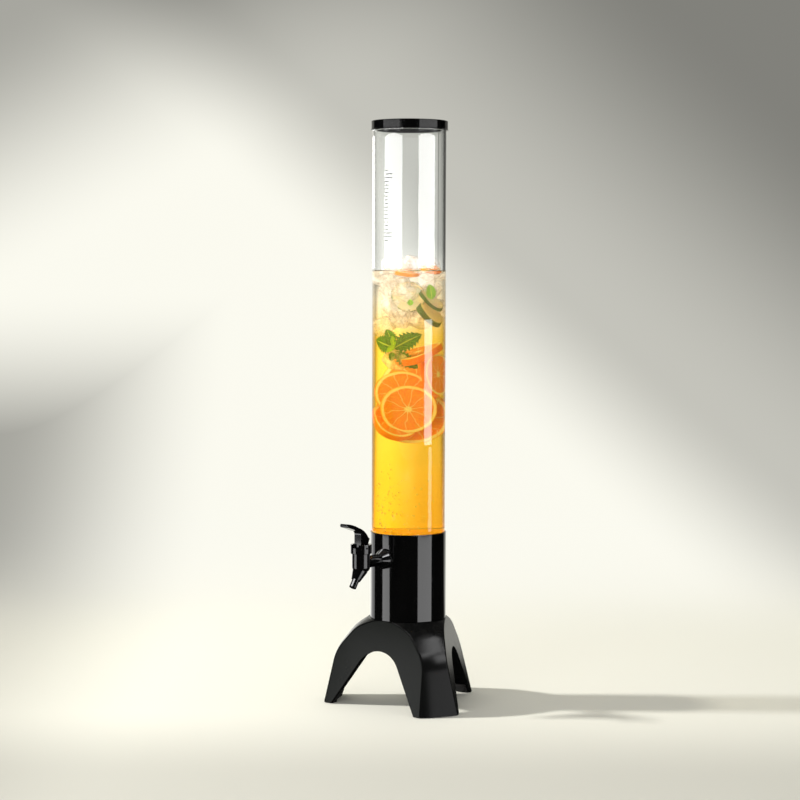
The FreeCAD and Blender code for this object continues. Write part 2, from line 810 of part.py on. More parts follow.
def make_bonnet():
    """Screwed cap of the barrel: holds the lever's pin and guides the stem."""
    spigot_radius = "barrel_bore - fit_clearance"
    ring_outer = "stem_hole_radius + o_ring_section"
    ring_middle = "bonnet_web_top - bonnet_web_thickness / 2"
    blank = turned(
        "bonnet_blank",
        [
            ("stem_hole_radius", "web_bottom"),
            ("barrel_bore - bonnet_spigot_wall", "web_bottom"),
            ("barrel_bore - bonnet_spigot_wall", "barrel_top_height - bonnet_spigot_depth"),
            (spigot_radius, "barrel_top_height - bonnet_spigot_depth"),
            (spigot_radius, "barrel_top_height"),
            ("bonnet_radius", "barrel_top_height"),
            ("bonnet_radius", "bonnet_top"),
            ("bonnet_bore", "bonnet_top"),
            ("bonnet_bore", "bonnet_web_top"),
            ("stem_hole_radius", "bonnet_web_top"),
            ("stem_hole_radius", ring_middle + " + o_ring_section / 2"),
            (ring_outer, ring_middle + " + o_ring_section / 2"),
            (ring_outer, ring_middle + " - o_ring_section / 2"),
            ("stem_hole_radius", ring_middle + " - o_ring_section / 2"),
        ])
    rounded(blank, "bonnet_edge_round",
            at_circle(("bonnet_radius", "bonnet_top"), ("bonnet_radius", "barrel_top_height")))
    set_down(blank, y="-tap_reach")
    notch = solid("Box", "lever_notch", Length="lever_width + 2 * lever_side_clearance",
                  Width="bonnet_radius", Height="2 * bonnet_notch_depth")
    set_down(notch, x="-(lever_width / 2 + lever_side_clearance)",
             y="-(tap_reach + bonnet_radius + lever_pin_offset)", z="bonnet_top - bonnet_notch_depth")
    pin_hole = solid("Cylinder", "bonnet_pin_hole", Radius="lever_pin_radius",
                     Height="2 * bonnet_radius")
    pin_hole.Placement = FreeCAD.Placement(
        FreeCAD.Vector(), FreeCAD.Rotation(Y_AXIS, 90))
    tie(pin_hole, "Placement.Base.x", "-bonnet_radius")
    tie(pin_hole, "Placement.Base.y", "-(tap_reach + lever_pin_offset)")
    tie(pin_hole, "Placement.Base.z", "lever_pin_height")
    keep(cut("bonnet", blank, fused("bonnet_cuts", [notch, pin_hole])), "tap_bonnet")

    pin = solid("Cylinder", "pin", Radius="lever_pin_radius", Height="2 * bonnet_bore")
    pin.Placement = pin_hole.Placement
    tie(pin, "Placement.Base.x", "-bonnet_bore")
    tie(pin, "Placement.Base.y", "-(tap_reach + lever_pin_offset)")
    tie(pin, "Placement.Base.z", "lever_pin_height")
    keep(pin, "lever_pin")

    ring = solid("Torus", "o_ring", Radius1="stem_hole_radius + o_ring_section / 2",
                 Radius2="o_ring_section / 2")
    set_down(ring, y="-tap_reach", z=ring_middle)
    keep(ring, "stem_o_ring")


def make_valve():
    """Stem with its ball and collar, the plug on its foot and the spring."""
    rod = turned(
        "stem_rod",
        [
            ("0", "plug_top - plug_socket_depth"),
            ("plug_spigot_radius", "plug_top - plug_socket_depth"),
            ("plug_spigot_radius", "plug_top"),
            ("stem_collar_radius", "plug_top"),
            ("stem_collar_radius", "collar_top"),
            ("stem_radius", "collar_top"),
            ("stem_radius", "ball_height"),
            ("0", "ball_height"),
        ])
    set_down(rod, y="-tap_reach")
    ball = solid("Sphere", "stem_ball", Radius="stem_ball_radius")
    set_down(ball, y="-tap_reach", z="ball_height")
    keep(fused("stem", [rod, ball]), "valve_stem")

    plug = turned(
        "plug",
        [
            ("0", "plug_bottom"),
            ("plug_radius", "plug_bottom"),
            ("plug_top_radius", "plug_top"),
            ("plug_spigot_radius", "plug_top"),
            ("plug_spigot_radius", "plug_top - plug_socket_depth"),
            ("0", "plug_top - plug_socket_depth"),
        ])
    keep(set_down(plug, y="-tap_reach"), "valve_plug")

    halves = []
    for number in range(2 * int(value("spring_turns"))):
        half = solid("Torus", "spring_half_%d" % (number + 1),
                     Radius1="spring_coil_radius / cos(spring_tilt * 1 deg)",
                     Radius2="spring_wire_radius", Angle3="180")
        side = FreeCAD.Rotation(Z_AXIS, 180 * number)
        half.Placement = FreeCAD.Placement(
            FreeCAD.Vector(), side * FreeCAD.Rotation(Y_AXIS, value("spring_tilt")))
        tie(half, "Placement.Base.y", "-tap_reach")
        tie(half, "Placement.Base.z", "spring_bottom + spring_half_rise * (%d + 1 / 2)" % number)
        halves.append(half)
    keep(fused("spring", halves), "return_spring")


def make_lever():
    """Lever: a block in the bonnet with a thin blade reaching forward."""
    hollow_height = "blade_root_height - blade_thickness - lever_hollow_radius"
    hollow_reach = "tap_reach + lever_front + lever_hollow_radius"
    tip_under = ("-(tap_reach + blade_tip_reach)", "blade_tip_height - blade_thickness")
    tip_over = ("-(tap_reach + blade_tip_reach)", "blade_tip_height")
    root_over = ("-(tap_reach + blade_root_reach)", "blade_root_height")
    block = padded(
        "lever_block", "YZ_Plane",
        [
            ("-(tap_reach - lever_back)", "lever_bottom_height"),
            ("-(tap_reach + lever_front)", "lever_bottom_height"),
            ("-(tap_reach + lever_front)", hollow_height, "lever_hollow_radius", True),
            ("-(%s)" % hollow_reach, "blade_root_height - blade_thickness"),
            tip_under + ("blade_thickness * blade_nose_share", False),
            tip_over + ("blade_top_radius", False),
            root_over + ("lever_crown_radius", False),
            ("-(tap_reach - lever_back_overhang + lever_back_round)",
             "lever_back_height", "lever_back_round", False),
            ("-(tap_reach - lever_back_overhang)", "lever_back_height - lever_back_round"),
            ("-(tap_reach - lever_back)", "bonnet_top + lever_side_clearance"),
        ],
        "lever_width")
    blade = padded(
        "lever_blade", "YZ_Plane",
        [
            ("-(%s)" % hollow_reach, "blade_root_height - blade_thickness"),
            tip_under + ("blade_thickness * blade_nose_share", False),
            tip_over + ("blade_top_radius", False),
            root_over,
        ],
        "blade_width")
    whole = fused("lever_whole", [block, blade])
    pocket = solid("Cylinder", "ball_pocket", Radius="ball_pocket_radius",
                   Height="2 * ball_pocket_radius")
    pocket.Placement = FreeCAD.Placement(
        FreeCAD.Vector(), FreeCAD.Rotation(Y_AXIS, 90))
    tie(pocket, "Placement.Base.x", "-ball_pocket_radius")
    tie(pocket, "Placement.Base.y", "-tap_reach")
    tie(pocket, "Placement.Base.z", "ball_height")
    slope_x = "neck_slot_half * cos(lever_travel_angle * 1 deg)"
    slope_z = "neck_slot_half * sin(lever_travel_angle * 1 deg)"
    low = "lever_bottom_height - lever_ball_clearance"
    slot = padded(
        "neck_slot", "YZ_Plane",
        [
            ("-(tap_reach - neck_slot_half)", "ball_height"),
            ("-(tap_reach - neck_slot_half)", low),
            ("-(tap_reach + %s + (ball_height + %s - lever_bottom_height + lever_ball_clearance)"
             " * tan(lever_travel_angle * 1 deg))" % (slope_x, slope_z), low),
            ("-(tap_reach + %s)" % slope_x, "ball_height + %s" % slope_z),
        ],
        "2 * neck_slot_half")
    pin_way = solid("Cylinder", "lever_pin_way", Radius="lever_pin_radius + fit_clearance",
                    Height="2 * bonnet_radius")
    pin_way.Placement = pocket.Placement
    tie(pin_way, "Placement.Base.x", "-bonnet_radius")
    tie(pin_way, "Placement.Base.y", "-(tap_reach + lever_pin_offset)")
    tie(pin_way, "Placement.Base.z", "lever_pin_height")
    keep(cut("lever", whole, fused("lever_cuts", [pocket, slot, pin_way])), "tap_lever")


def check_and_write():
    """Stop on any failed object, then write each sub-part's file."""
    doc.recompute()
    for item in doc.Objects:
        if "Invalid" in item.State or "Error" in item.State:
            raise RuntimeError("%s: %s" % (item.Label, item.State))
    os.makedirs(OUT, exist_ok=True)
    for piece in nodes:
        shape = piece.Shape
        if shape.isNull() or not shape.isValid():
            raise RuntimeError("%s has no valid shape" % piece.Label)
        shape.exportStep(os.path.join(OUT, piece.Label + ".step"))
        box = shape.BoundBox
        print("%-18s solids %d volume %10.1f  z %.1f..%.1f" % (
            piece.Label, len(shape.Solids), shape.Volume, box.ZMin, box.ZMax))


base_room, base_arches = make_tripod_base()
make_foot_pads(base_room, base_arches)
make_base_clamp()
make_lower_cup()
make_tube()
make_lid()
make_tap_body()
make_nozzle()
make_shank_fittings()
make_bonnet()
make_valve()
make_lever()
check_and_write()
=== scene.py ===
"""Dressed model of a tabletop drink tower.

A three-legged base carries a glossy cup, a clear tube and a press-on lid, with a self-closing
tap at the front. The tube holds a fruit drink with ice, slices of orange and lime, and mint.
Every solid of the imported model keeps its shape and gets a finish. The drink, what floats in
it, the printed measures and the studio are made here.
"""

import logging
import math
import random
from collections.abc import Callable, Sequence
from dataclasses import dataclass, field
from enum import Enum
from functools import cache
from typing import Union

import bmesh
import bpy
from mathutils import Matrix, Vector, noise


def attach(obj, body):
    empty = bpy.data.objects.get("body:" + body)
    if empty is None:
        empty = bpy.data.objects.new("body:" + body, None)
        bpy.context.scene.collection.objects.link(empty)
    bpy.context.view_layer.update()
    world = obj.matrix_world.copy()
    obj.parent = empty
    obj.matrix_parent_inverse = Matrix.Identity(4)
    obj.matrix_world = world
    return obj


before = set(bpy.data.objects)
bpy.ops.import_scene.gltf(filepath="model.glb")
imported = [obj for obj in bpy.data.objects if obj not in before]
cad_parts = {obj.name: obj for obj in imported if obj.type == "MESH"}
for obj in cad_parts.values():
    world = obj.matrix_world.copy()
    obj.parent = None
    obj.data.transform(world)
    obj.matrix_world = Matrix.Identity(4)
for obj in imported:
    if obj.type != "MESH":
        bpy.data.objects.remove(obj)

log = logging.getLogger("drink_tower")

Triple = tuple[float, float, float]
Range = tuple[float, ...]
Colour = Triple
Node = bpy.types.Node
Socket = bpy.types.NodeSocket
Tree = bpy.types.NodeTree
Material = bpy.types.Material
Shape = bmesh.types.BMesh
Value = Union[Socket, float, Triple]

TOWER = "tower"
SAME_PLACE = 1e-7
SHOW_SIDE = math.radians(38.09)
SHOW_START = SHOW_SIDE - math.pi / 2
RIPPLES = 90.0
BLACK: Colour = (0.0, 0.0, 0.0)
WHITE: Colour = (1.0, 1.0, 1.0)


def mm(*values: float) -> Vector | float:
    """Turns millimetres into metres.

    Args:
        values: one length, or the three parts of a point.

    Returns:
        One length, or a vector where several values are given.
    """
    if len(values) == 1:
        return values[0] / 1000.0
    return Vector([value / 1000.0 for value in values])


class Ray(Enum):
    """Kinds of ray that a surface can tell apart."""

    CAMERA = "Is Camera Ray"
    GLOSSY = "Is Glossy Ray"
    SHADOW = "Is Shadow Ray"
    THROUGH = "Is Transmission Ray"


class Graph:
    """A node tree that is filled node by node."""

    def __init__(self, tree: Tree) -> None:
        """Takes over a tree and empties it."""
        self.tree = tree
        tree.nodes.clear()

    def add(self, kind: str, **settings: object) -> Node:
        """Adds one node.

        Args:
            kind: the node's type without its ShaderNode prefix.
            settings: attributes of the node.

        Returns:
            The new node.
        """
        made = self.tree.nodes.new(kind if kind.startswith("Node") else "ShaderNode" + kind)
        for key, value in settings.items():
            setattr(made, key, value)
        return made

    def put(self, socket: Socket, value: Value) -> None:
        """Links a socket to another one, or gives it a plain value.

        Args:
            socket: the input.
            value: the output or the plain value for it.
        """
        if isinstance(value, Socket):
            self.tree.links.new(value, socket)
        elif isinstance(value, tuple) and socket.type == "RGBA":
            socket.default_value = (*value, 1.0)
        else:
            socket.default_value = value

    def fill(self, node: Node, **values: Value) -> Node:
        """Gives a node's inputs their values.

        Args:
            node: the node.
            values: the inputs by name, with _ for a space.

        Returns:
            The same node.
        """
        for key, value in values.items():
            self.put(node.inputs[key.replace("_", " ")], value)
        return node

    def join(self, kind: str, *values: Value, output: int | str = 0, **settings: object) -> Socket:
        """Adds a node and fills its first inputs in order.

        Args:
            kind: the node's type.
            values: what goes in.
            output: which output is meant.
            settings: attributes of the node.

        Returns:
            The node's output.
        """
        made = self.add(kind, **settings)
        for socket, value in zip(made.inputs, values):
            self.put(socket, value)
        return made.outputs[output]

    def math(self, operation: str, *values: Value, clamp: bool = False) -> Socket:
        """Works values out, and keeps the result between 0 and 1 where clamp is set."""
        return self.join("Math", *values, operation=operation, use_clamp=clamp)

    def _chained(self, operation: str, first: Value, *rest: Value) -> Socket:
        """Joins values one after the other with the same operation.

        Args:
            operation: the Math node's operation.
            first: the value to start with.
            rest: the values to join on.

        Returns:
            The result.
        """
        for value in rest:
            first = self.math(operation, first, value)
        return first

    def plus(self, *values: Value) -> Socket:
        """Adds values up."""
        return self._chained("ADD", *values)

    def times(self, *values: Value) -> Socket:
        """Multiplies values."""
        return self._chained("MULTIPLY", *values)

    def largest(self, *values: Value) -> Socket:
        """Picks the largest of the values."""
        return self._chained("MAXIMUM", *values)

    def minus(self, first: Value, second: Value) -> Socket:
        """Takes the second value off the first."""
        return self.math("SUBTRACT", first, second)

    def plain(self, value: Value) -> Socket:
        """Drops a value's sign."""
        return self.math("ABSOLUTE", value)

    def vector(self, operation: str, *values: Value, output: str = "Vector") -> Socket:
        """Works vectors out."""
        return self.join("VectorMath", *values, operation=operation, output=output)

    def along(self, vector: Value, direction: Triple) -> Socket:
        """Measures how far a vector goes in a direction."""
        return self.vector("DOT_PRODUCT", vector, direction, output="Value")

    def split(self, vector: Socket) -> tuple[Socket, Socket, Socket]:
        """Splits a vector into its three parts."""
        return tuple(self.fill(self.add("SeparateXYZ"), Vector=vector).outputs)

    def spread(self, value: Value, low: Value, high: Value, to_low: Value = 0.0,
               to_high: Value = 1.0) -> Socket:
        """Maps a range of values onto another one, with soft ends.

        Args:
            value: what is mapped.
            low, high: the range that comes in.
            to_low, to_high: the range that goes out.

        Returns:
            The mapped value.
        """
        made = self.add("MapRange", interpolation_type="SMOOTHSTEP")
        self.fill(made, Value=value, From_Min=low, From_Max=high, To_Min=to_low, To_Max=to_high)
        return made.outputs["Result"]

    def blend(self, factor: Value, first: Value, second: Value) -> Socket:
        """Mixes two colours.

        Args:
            factor: the second colour's share.
            first: the first colour.
            second: the second colour.

        Returns:
            The mixed colour.
        """
        made = self.add("Mix", data_type="RGBA", clamp_factor=True)
        colours = [socket for socket in made.inputs if socket.type == "RGBA"]
        for socket, value in zip((made.inputs[0], *colours), (factor, first, second)):
            self.put(socket, value)
        return made.outputs[2]

    def noise(self, vector: Socket, scale: Value, detail: float = 3.0,
              roughness: float = 0.5) -> Socket:
        """Adds soft noise.

        Args:
            vector: where it is taken.
            scale: how fine it is.
            detail: how many finer layers it has.
            roughness: how strong those are.

        Returns:
            The noise, from 0 to 1.
        """
        made = self.fill(self.add("TexNoise"), Vector=vector, Scale=scale, Detail=detail,
                         Roughness=roughness)
        return made.outputs["Fac"]

    def drift(self, vector: Socket, scale: Value, detail: float = 3.0, low: float = 0.3,
              high: float = 0.7) -> Socket:
        """Adds noise whose levels between low and high fill the range from 0 to 1."""
        return self.spread(self.noise(vector, scale, detail), low, high)

    def cells(self, vector: Socket, scale: Value, feature: str = "F1") -> Socket:
        """Adds cells and measures the distance that the feature names."""
        made = self.add("TexVoronoi", feature=feature)
        return self.fill(made, Vector=vector, Scale=scale).outputs["Distance"]

    def stretched(self, vector: Socket, scale: Triple, turn: Triple = (0.0, 0.0, 0.0)) -> Socket:
        """Scales and turns a coordinate."""
        made = self.fill(self.add("Mapping"), Vector=vector, Rotation=turn, Scale=scale)
        return made.outputs["Vector"]

    def coordinate(self, output: str = "Object") -> Socket:
        """Adds a Texture Coordinate node's named output."""
        return self.add("TexCoord").outputs[output]

    def geometry(self, output: str) -> Socket:
        """Adds a Geometry node's named output."""
        return self.add("NewGeometry").outputs[output]

    def ray(self, kind: Ray) -> Socket:
        """Says whether a ray of this kind looks at the surface."""
        return self.add("LightPath").outputs[kind.value]

    def mirrored(self) -> Socket:
        """Says whether the surface is seen in a reflection that nothing clear lies before."""
        return self.times(self.ray(Ray.GLOSSY), self.minus(1.0, self.ray(Ray.THROUGH)))

    def mixed(self, factor: Value, first: Node, second: Node) -> Node:
        """Mixes two shaders."""
        return self.join("MixShader", factor, first.outputs[0], second.outputs[0]).node

    def bump(self, shader: Node, height: Socket, strength: float, distance: float) -> None:
        """Gives a shader a fine relief.

        Args:
            shader: the shader.
            height: the relief.
            strength: how much of it shows.
            distance: how high it is in metres.
        """
        made = self.fill(self.add("Bump"), Strength=strength, Distance=distance, Height=height)
        self.fill(shader, Normal=made.outputs[0])

    def place(self, group: Tree, **values: Value) -> Socket:
        """Places a shared group and returns its result.

        Args:
            group: the group's tree.
            values: its inputs by name.

        Returns:
            The group's one output.
        """
        return self.fill(self.add("Group", node_tree=group), **values).outputs[0]


Recipe = Callable[[Graph, dict[str, Socket]], Socket]


class SharedGroups:
    """Shader node groups that more than one finish uses, each built once."""

    def __init__(self) -> None:
        """Builds every group."""
        self.grain = self._group("moulded_grain", self._grain, Scale=900.0, Coarse=0.4)
        self.smudge = self._group("handling_smudge", self._smudge, Scale=40.0, Clean=0.08,
                                  Smudged=0.2)
        self.dust = self._group("settled_dust", self._dust, Amount=0.2)
        self.hairlines = self._group("wiping_hairlines", self._hairlines, Density=1.0)

    @staticmethod
    def _group(name: str, recipe: Recipe, **inputs: float) -> Tree:
        """Builds one group.

        Args:
            name: the group's name.
            recipe: works out its result from its inputs by name.
            inputs: the number of each input beside Vector.

        Returns:
            The group's tree.
        """
        tree = bpy.data.node_groups.new(name, "ShaderNodeTree")
        tree.interface.new_socket("Vector", in_out="INPUT", socket_type="NodeSocketVector")
        for label, default in inputs.items():
            made = tree.interface.new_socket(label, in_out="INPUT", socket_type="NodeSocketFloat")
            made.default_value = default
        tree.interface.new_socket("Result", in_out="OUTPUT", socket_type="NodeSocketFloat")
        graph = Graph(tree)
        given = {made.name: made for made in graph.add("NodeGroupInput").outputs if made.name}
        graph.fill(graph.add("NodeGroupOutput"), Result=recipe(graph, given))
        return tree

    @staticmethod
    def _grain(graph: Graph, given: dict[str, Socket]) -> Socket:
        """Fine moulded grain, as a height.

        Args:
            graph: the group's graph.
            given: its inputs by name.

        Returns:
            The height.
        """
        here, scale = given["Vector"], given["Scale"]
        fine = graph.noise(here, scale, 4.0, 0.6)
        pits = graph.cells(here, graph.times(scale, 0.55))
        wide = graph.noise(here, graph.times(scale, 0.06), 2.0)
        return graph.plus(fine, graph.times(pits, 0.5), graph.times(wide, given["Coarse"]))

    @staticmethod
    def _smudge(graph: Graph, given: dict[str, Socket]) -> Socket:
        """Roughness that drifts between clean gloss and faint finger marks.

        Args:
            graph: the group's graph.
            given: its inputs by name.

        Returns:
            The roughness.
        """
        here, scale, clean = given["Vector"], given["Scale"], given["Clean"]
        cloud = graph.spread(graph.noise(here, scale, 4.0, 0.62), 0.5, 0.72)
        ridge = graph.drift(here, graph.times(scale, 9.0), 2.0, 0.3, 0.65)
        return graph.plus(clean, graph.times(cloud, ridge, graph.minus(given["Smudged"], clean)))

    @staticmethod
    def _dust(graph: Graph, given: dict[str, Socket]) -> Socket:
        """Dust that settles on faces that look up, in faint drifts.

        Args:
            graph: the group's graph.
            given: its inputs by name.

        Returns:
            The dust's mask.
        """
        level = graph.spread(graph.split(graph.geometry("Normal"))[2], 0.35, 0.95)
        cloud = graph.spread(graph.noise(given["Vector"], 55.0, 5.0, 0.65), 0.38, 0.7)
        specks = graph.spread(graph.cells(given["Vector"], 420.0), 0.16, 0.05)
        settled = graph.times(level, graph.largest(graph.times(cloud, 0.6), specks))
        return graph.math("MULTIPLY", settled, given["Amount"], clamp=True)

    @staticmethod
    def _hairlines(graph: Graph, given: dict[str, Socket]) -> Socket:
        """Fine scratches from wiping, in two crossing directions.

        Args:
            graph: the group's graph.
            given: its inputs by name.

        Returns:
            The scratches' mask.
        """
        scaled = graph.vector("SCALE", given["Vector"])
        graph.fill(scaled.node, Scale=given["Density"])
        lines = []
        for turn, scale in (((0.3, 0.5, 0.2), (30.0, 900.0, 900.0)),
                            ((0.9, -0.4, 1.1), (900.0, 25.0, 900.0))):
            streak = graph.noise(graph.stretched(scaled, scale, turn), 1.0, 2.0, 0.7)
            lines.append(graph.spread(streak, 0.66, 0.74))
        return graph.largest(*lines)


@cache
def shared() -> SharedGroups:
    """Builds the shared groups when a finish first asks for them."""
    return SharedGroups()


@dataclass(frozen=True)
class Finish:
    """A material, which each kind of finish paints its own way."""

    name: str

    def build(self) -> Material:
        """Builds the material.

        Returns:
            The finished material.
        """
        material = bpy.data.materials.new(self.name)
        material.use_nodes = True
        graph = Graph(material.node_tree)
        graph.fill(graph.add("OutputMaterial"), Surface=self.surface(graph).outputs[0])
        return material

    def surface(self, graph: Graph) -> Node:
        """Builds what the surface shows: one Principled surface, unless a finish says more.

        Args:
            graph: the material's graph.

        Returns:
            What the surface shows.
        """
        shader = graph.add("BsdfPrincipled")
        self.paint(graph, shader)
        return shader

    def paint(self, graph: Graph, shader: Node) -> None:
        """Sets the Principled surface's inputs."""
        raise NotImplementedError


@dataclass(frozen=True)
class ClearFinish(Finish):
    """A finish that lets light through, so that what it holds isn't in the dark."""

    entering: Colour = WHITE
    leaving: Colour = WHITE

    def surface(self, graph: Graph) -> Node:
        """Lets light from lamps pass, tinted by the side that it comes from.

        Args:
            graph: the material's graph.

        Returns:
            What the surface shows.
        """
        shader = super().surface(graph)
        tint = graph.blend(graph.geometry("Backfacing"), self.entering, self.leaving)
        passing = graph.fill(graph.add("BsdfTransparent"), Color=tint)
        return graph.mixed(graph.ray(Ray.SHADOW), shader, passing)


class Sheen(Enum):
    """Roughness of a moulded surface, where it is clean and where it is smudged."""

    MIRROR = (0.07, 0.16)
    POLISHED = (0.12, 0.2)
    SATIN = (0.3, 0.4)
    MATT = (0.42, 0.55)
    DULL = (0.6, 0.75)


@dataclass(frozen=True)
class Moulded(Finish):
    """Black or pale moulded plastic with smudges, dust and wiping lines."""

    colour: Colour
    sheen: Sheen
    coat: float = 0.0
    grain: float = 0.0
    grain_scale: float = 900.0
    dust: float = 0.2
    dust_colour: Colour = (0.32, 0.31, 0.29)
    lighter: float = 1.35

    def paint(self, graph: Graph, shader: Node) -> None:
        """Paints a faintly clouded body under smudges, scratches and dust.

        Args:
            graph: the material's graph.
            shader: its Principled surface.
        """
        here = graph.coordinate()
        clean, smudged = self.sheen.value
        smudge = graph.place(shared().smudge, Vector=here, Scale=38.0, Clean=clean,
                             Smudged=smudged)
        dust = graph.place(shared().dust, Vector=here, Amount=self.dust)
        lines = graph.place(shared().hairlines, Vector=here, Density=1.0)
        light = tuple(min(1.0, part * self.lighter) for part in self.colour)
        base = graph.blend(graph.drift(here, 14.0), self.colour, light)
        rough = graph.math("ADD", graph.plus(smudge, graph.times(lines, 0.12)),
                           graph.times(dust, 0.4), clamp=True)
        graph.fill(shader, Base_Color=graph.blend(dust, base, self.dust_colour), Roughness=rough,
                   Coat_Weight=self.coat, Coat_Roughness=0.04)
        if self.grain:
            grain = graph.place(shared().grain, Vector=here, Scale=self.grain_scale, Coarse=0.4)
            graph.bump(shader, grain, self.grain, 0.0002)


@dataclass(frozen=True)
class TripodPlastic(Finish):
    """The tripod's plastic: satin on the legs, a duller flat on the three leaning faces."""

    name: str = "tripod_satin"
    legs: Colour = (0.004, 0.0042, 0.0042)
    faces: Colour = (0.006, 0.0068, 0.006)
    dust: Colour = (0.2, 0.19, 0.18)
    face_slope: float = 0.2285
    face_turns: tuple[float, ...] = (0.0, 120.0, 240.0)

    def paint(self, graph: Graph, shader: Node) -> None:
        """Parts the two textures by a mask from the direction that a face looks in.

        Args:
            graph: the material's graph.
            shader: its Principled surface.
        """
        here = graph.coordinate()
        normal = graph.geometry("Normal")
        masks = []
        for turn in self.face_turns:
            angle = math.radians(turn - 90.0)
            ahead = Vector((math.cos(angle), math.sin(angle), self.face_slope)).normalized()
            masks.append(graph.spread(graph.along(normal, tuple(ahead)), 0.9985, 0.9996))
        flat = graph.largest(*masks)
        smudge = graph.place(shared().smudge, Vector=here, Scale=26.0, Clean=0.2, Smudged=0.24)
        grain = graph.place(shared().grain, Vector=here, Scale=1500.0, Coarse=0.3)
        dust = graph.times(graph.place(shared().dust, Vector=here, Amount=0.2), 0.3)
        base = graph.blend(dust, graph.blend(flat, self.legs, self.faces), self.dust)
        graph.fill(shader, Base_Color=base, Specular_IOR_Level=0.12,
                   Roughness=graph.plus(smudge, graph.times(flat, 0.04)))
        graph.bump(shader, grain, 0.16, 0.00015)


@dataclass(frozen=True)
class SpringSteel(Finish):
    """Drawn wire and pin steel with fine lines along its length."""

    name: str = "drawn_steel"
    colour: Colour = (0.6, 0.6, 0.61)
    dark: Colour = (0.42, 0.42, 0.43)

    def paint(self, graph: Graph, shader: Node) -> None:
        """Paints clouded steel with hairlines.

        Args:
            graph: the material's graph.
            shader: its Principled surface.
        """
        here = graph.coordinate()
        lines = graph.place(shared().hairlines, Vector=here, Density=2.2)
        cloud = graph.noise(here, 160.0)
        base = graph.blend(graph.spread(cloud, 0.3, 0.8), self.colour, self.dark)
        rough = graph.plus(graph.spread(cloud, 0.3, 0.7, 0.2, 0.34), graph.times(lines, 0.15))
        graph.fill(shader, Metallic=1.0, Base_Color=base, Roughness=rough)


@dataclass(frozen=True)
class Silicone(Finish):
    """Milky seal material with a soft, slightly dusty skin."""

    name: str = "milky_silicone"
    colour: Colour = (0.74, 0.74, 0.7)
    aged: Colour = (0.66, 0.65, 0.6)
    dust: Colour = (0.5, 0.48, 0.44)

    def paint(self, graph: Graph, shader: Node) -> None:
        """Paints the milky body, its dust and its grain.

        Args:
            graph: the material's graph.
            shader: its Principled surface.
        """
        here = graph.coordinate()
        dust = graph.place(shared().dust, Vector=here, Amount=0.3)
        grain = graph.place(shared().grain, Vector=here, Scale=700.0, Coarse=0.5)
        body = graph.blend(graph.drift(here, 90.0, low=0.35), self.colour, self.aged)
        graph.fill(shader, Base_Color=graph.blend(dust, body, self.dust), Roughness=0.42)
        graph.bump(shader, grain, 0.1, 0.0001)


@dataclass(frozen=True)
class ClearAcrylic(ClearFinish):
    """Polished clear tube with faint wiping haze."""

    name: str = "polished_acrylic"
    tint: Colour = (0.985, 0.995, 0.995)

    def paint(self, graph: Graph, shader: Node) -> None:
        """Paints clear acrylic that is hazy only where it was wiped.

        Args:
            graph: the material's graph.
            shader: its Principled surface.
        """
        haze = graph.place(shared().smudge, Vector=graph.coordinate(), Scale=16.0, Clean=0.0,
                           Smudged=0.05)
        graph.fill(shader, Base_Color=self.tint, Roughness=haze, IOR=1.49,
                   Transmission_Weight=1.0)


@dataclass(frozen=True)
class FruitDrink(ClearFinish):
    """Clear fruit drink, pale under the ice and deep orange at the bottom."""

    name: str = "fruit_drink"
    entering: Colour = (0.45, 0.45, 0.43)
    leaving: Colour = (1.0, 0.97, 0.9)
    top: Colour = (1.0, 0.92, 0.76)
    middle: Colour = (1.0, 0.6, 0.05)
    bottom: Colour = (1.0, 0.46, 0.012)
    heights: tuple[float, ...] = (0.2, 0.42, 0.44, 0.535)
    sway: float = 0.02

    def paint(self, graph: Graph, shader: Node) -> None:
        """Paints a tint that deepens downward, with the height swaying in slow clouds.

        Args:
            graph: the material's graph.
            shader: its Principled surface.
        """
        here = graph.coordinate()
        cloud = graph.noise(graph.stretched(here, (18.0, 18.0, 7.0)), 1.0)
        height = graph.plus(graph.split(here)[2],
                            graph.spread(cloud, 0.3, 0.7, -self.sway, self.sway))
        tint = graph.blend(graph.spread(height, *self.heights[:2]), self.bottom, self.middle)
        tint = graph.blend(graph.spread(height, *self.heights[2:]), tint, self.top)
        graph.fill(shader, Base_Color=tint, Roughness=0.0, IOR=1.33, Transmission_Weight=0.93)


@dataclass(frozen=True)
class PulpCloud(Finish):
    """Settled fruit pulp, glowing where light soaks in."""

    name: str = "settled_pulp"
    light: Colour = (1.0, 0.6, 0.06)
    deep: Colour = (1.0, 0.48, 0.03)

    def paint(self, graph: Graph, shader: Node) -> None:
        """Paints soft clouds of pulp without any gloss.

        Args:
            graph: the material's graph.
            shader: its Principled surface.
        """
        spot = graph.stretched(graph.coordinate(), (30.0, 30.0, 14.0))
        cloud = graph.drift(spot, 1.0, 4.0, 0.35, 0.65)
        graph.fill(shader, Base_Color=graph.blend(cloud, self.light, self.deep), Roughness=0.8,
                   Specular_IOR_Level=0.0, Subsurface_Weight=0.6,
                   Subsurface_Radius=(0.02, 0.008, 0.001), Subsurface_Scale=1.0)


@dataclass(frozen=True)
class BubbleSkin(Finish):
    """Pale skin of the small bubbles in the drink."""

    name: str = "bubble_skin"
    dark: Colour = (1.0, 0.88, 0.5)
    light: Colour = (1.0, 0.95, 0.7)

    def paint(self, graph: Graph, shader: Node) -> None:
        """Paints a skin that a little light passes through.

        Args:
            graph: the material's graph.
            shader: its Principled surface.
        """
        tint = graph.noise(graph.coordinate(), 500.0, 1.0)
        graph.fill(shader, Base_Color=graph.blend(tint, self.dark, self.light), Roughness=0.2,
                   IOR=1.2, Transmission_Weight=0.35)


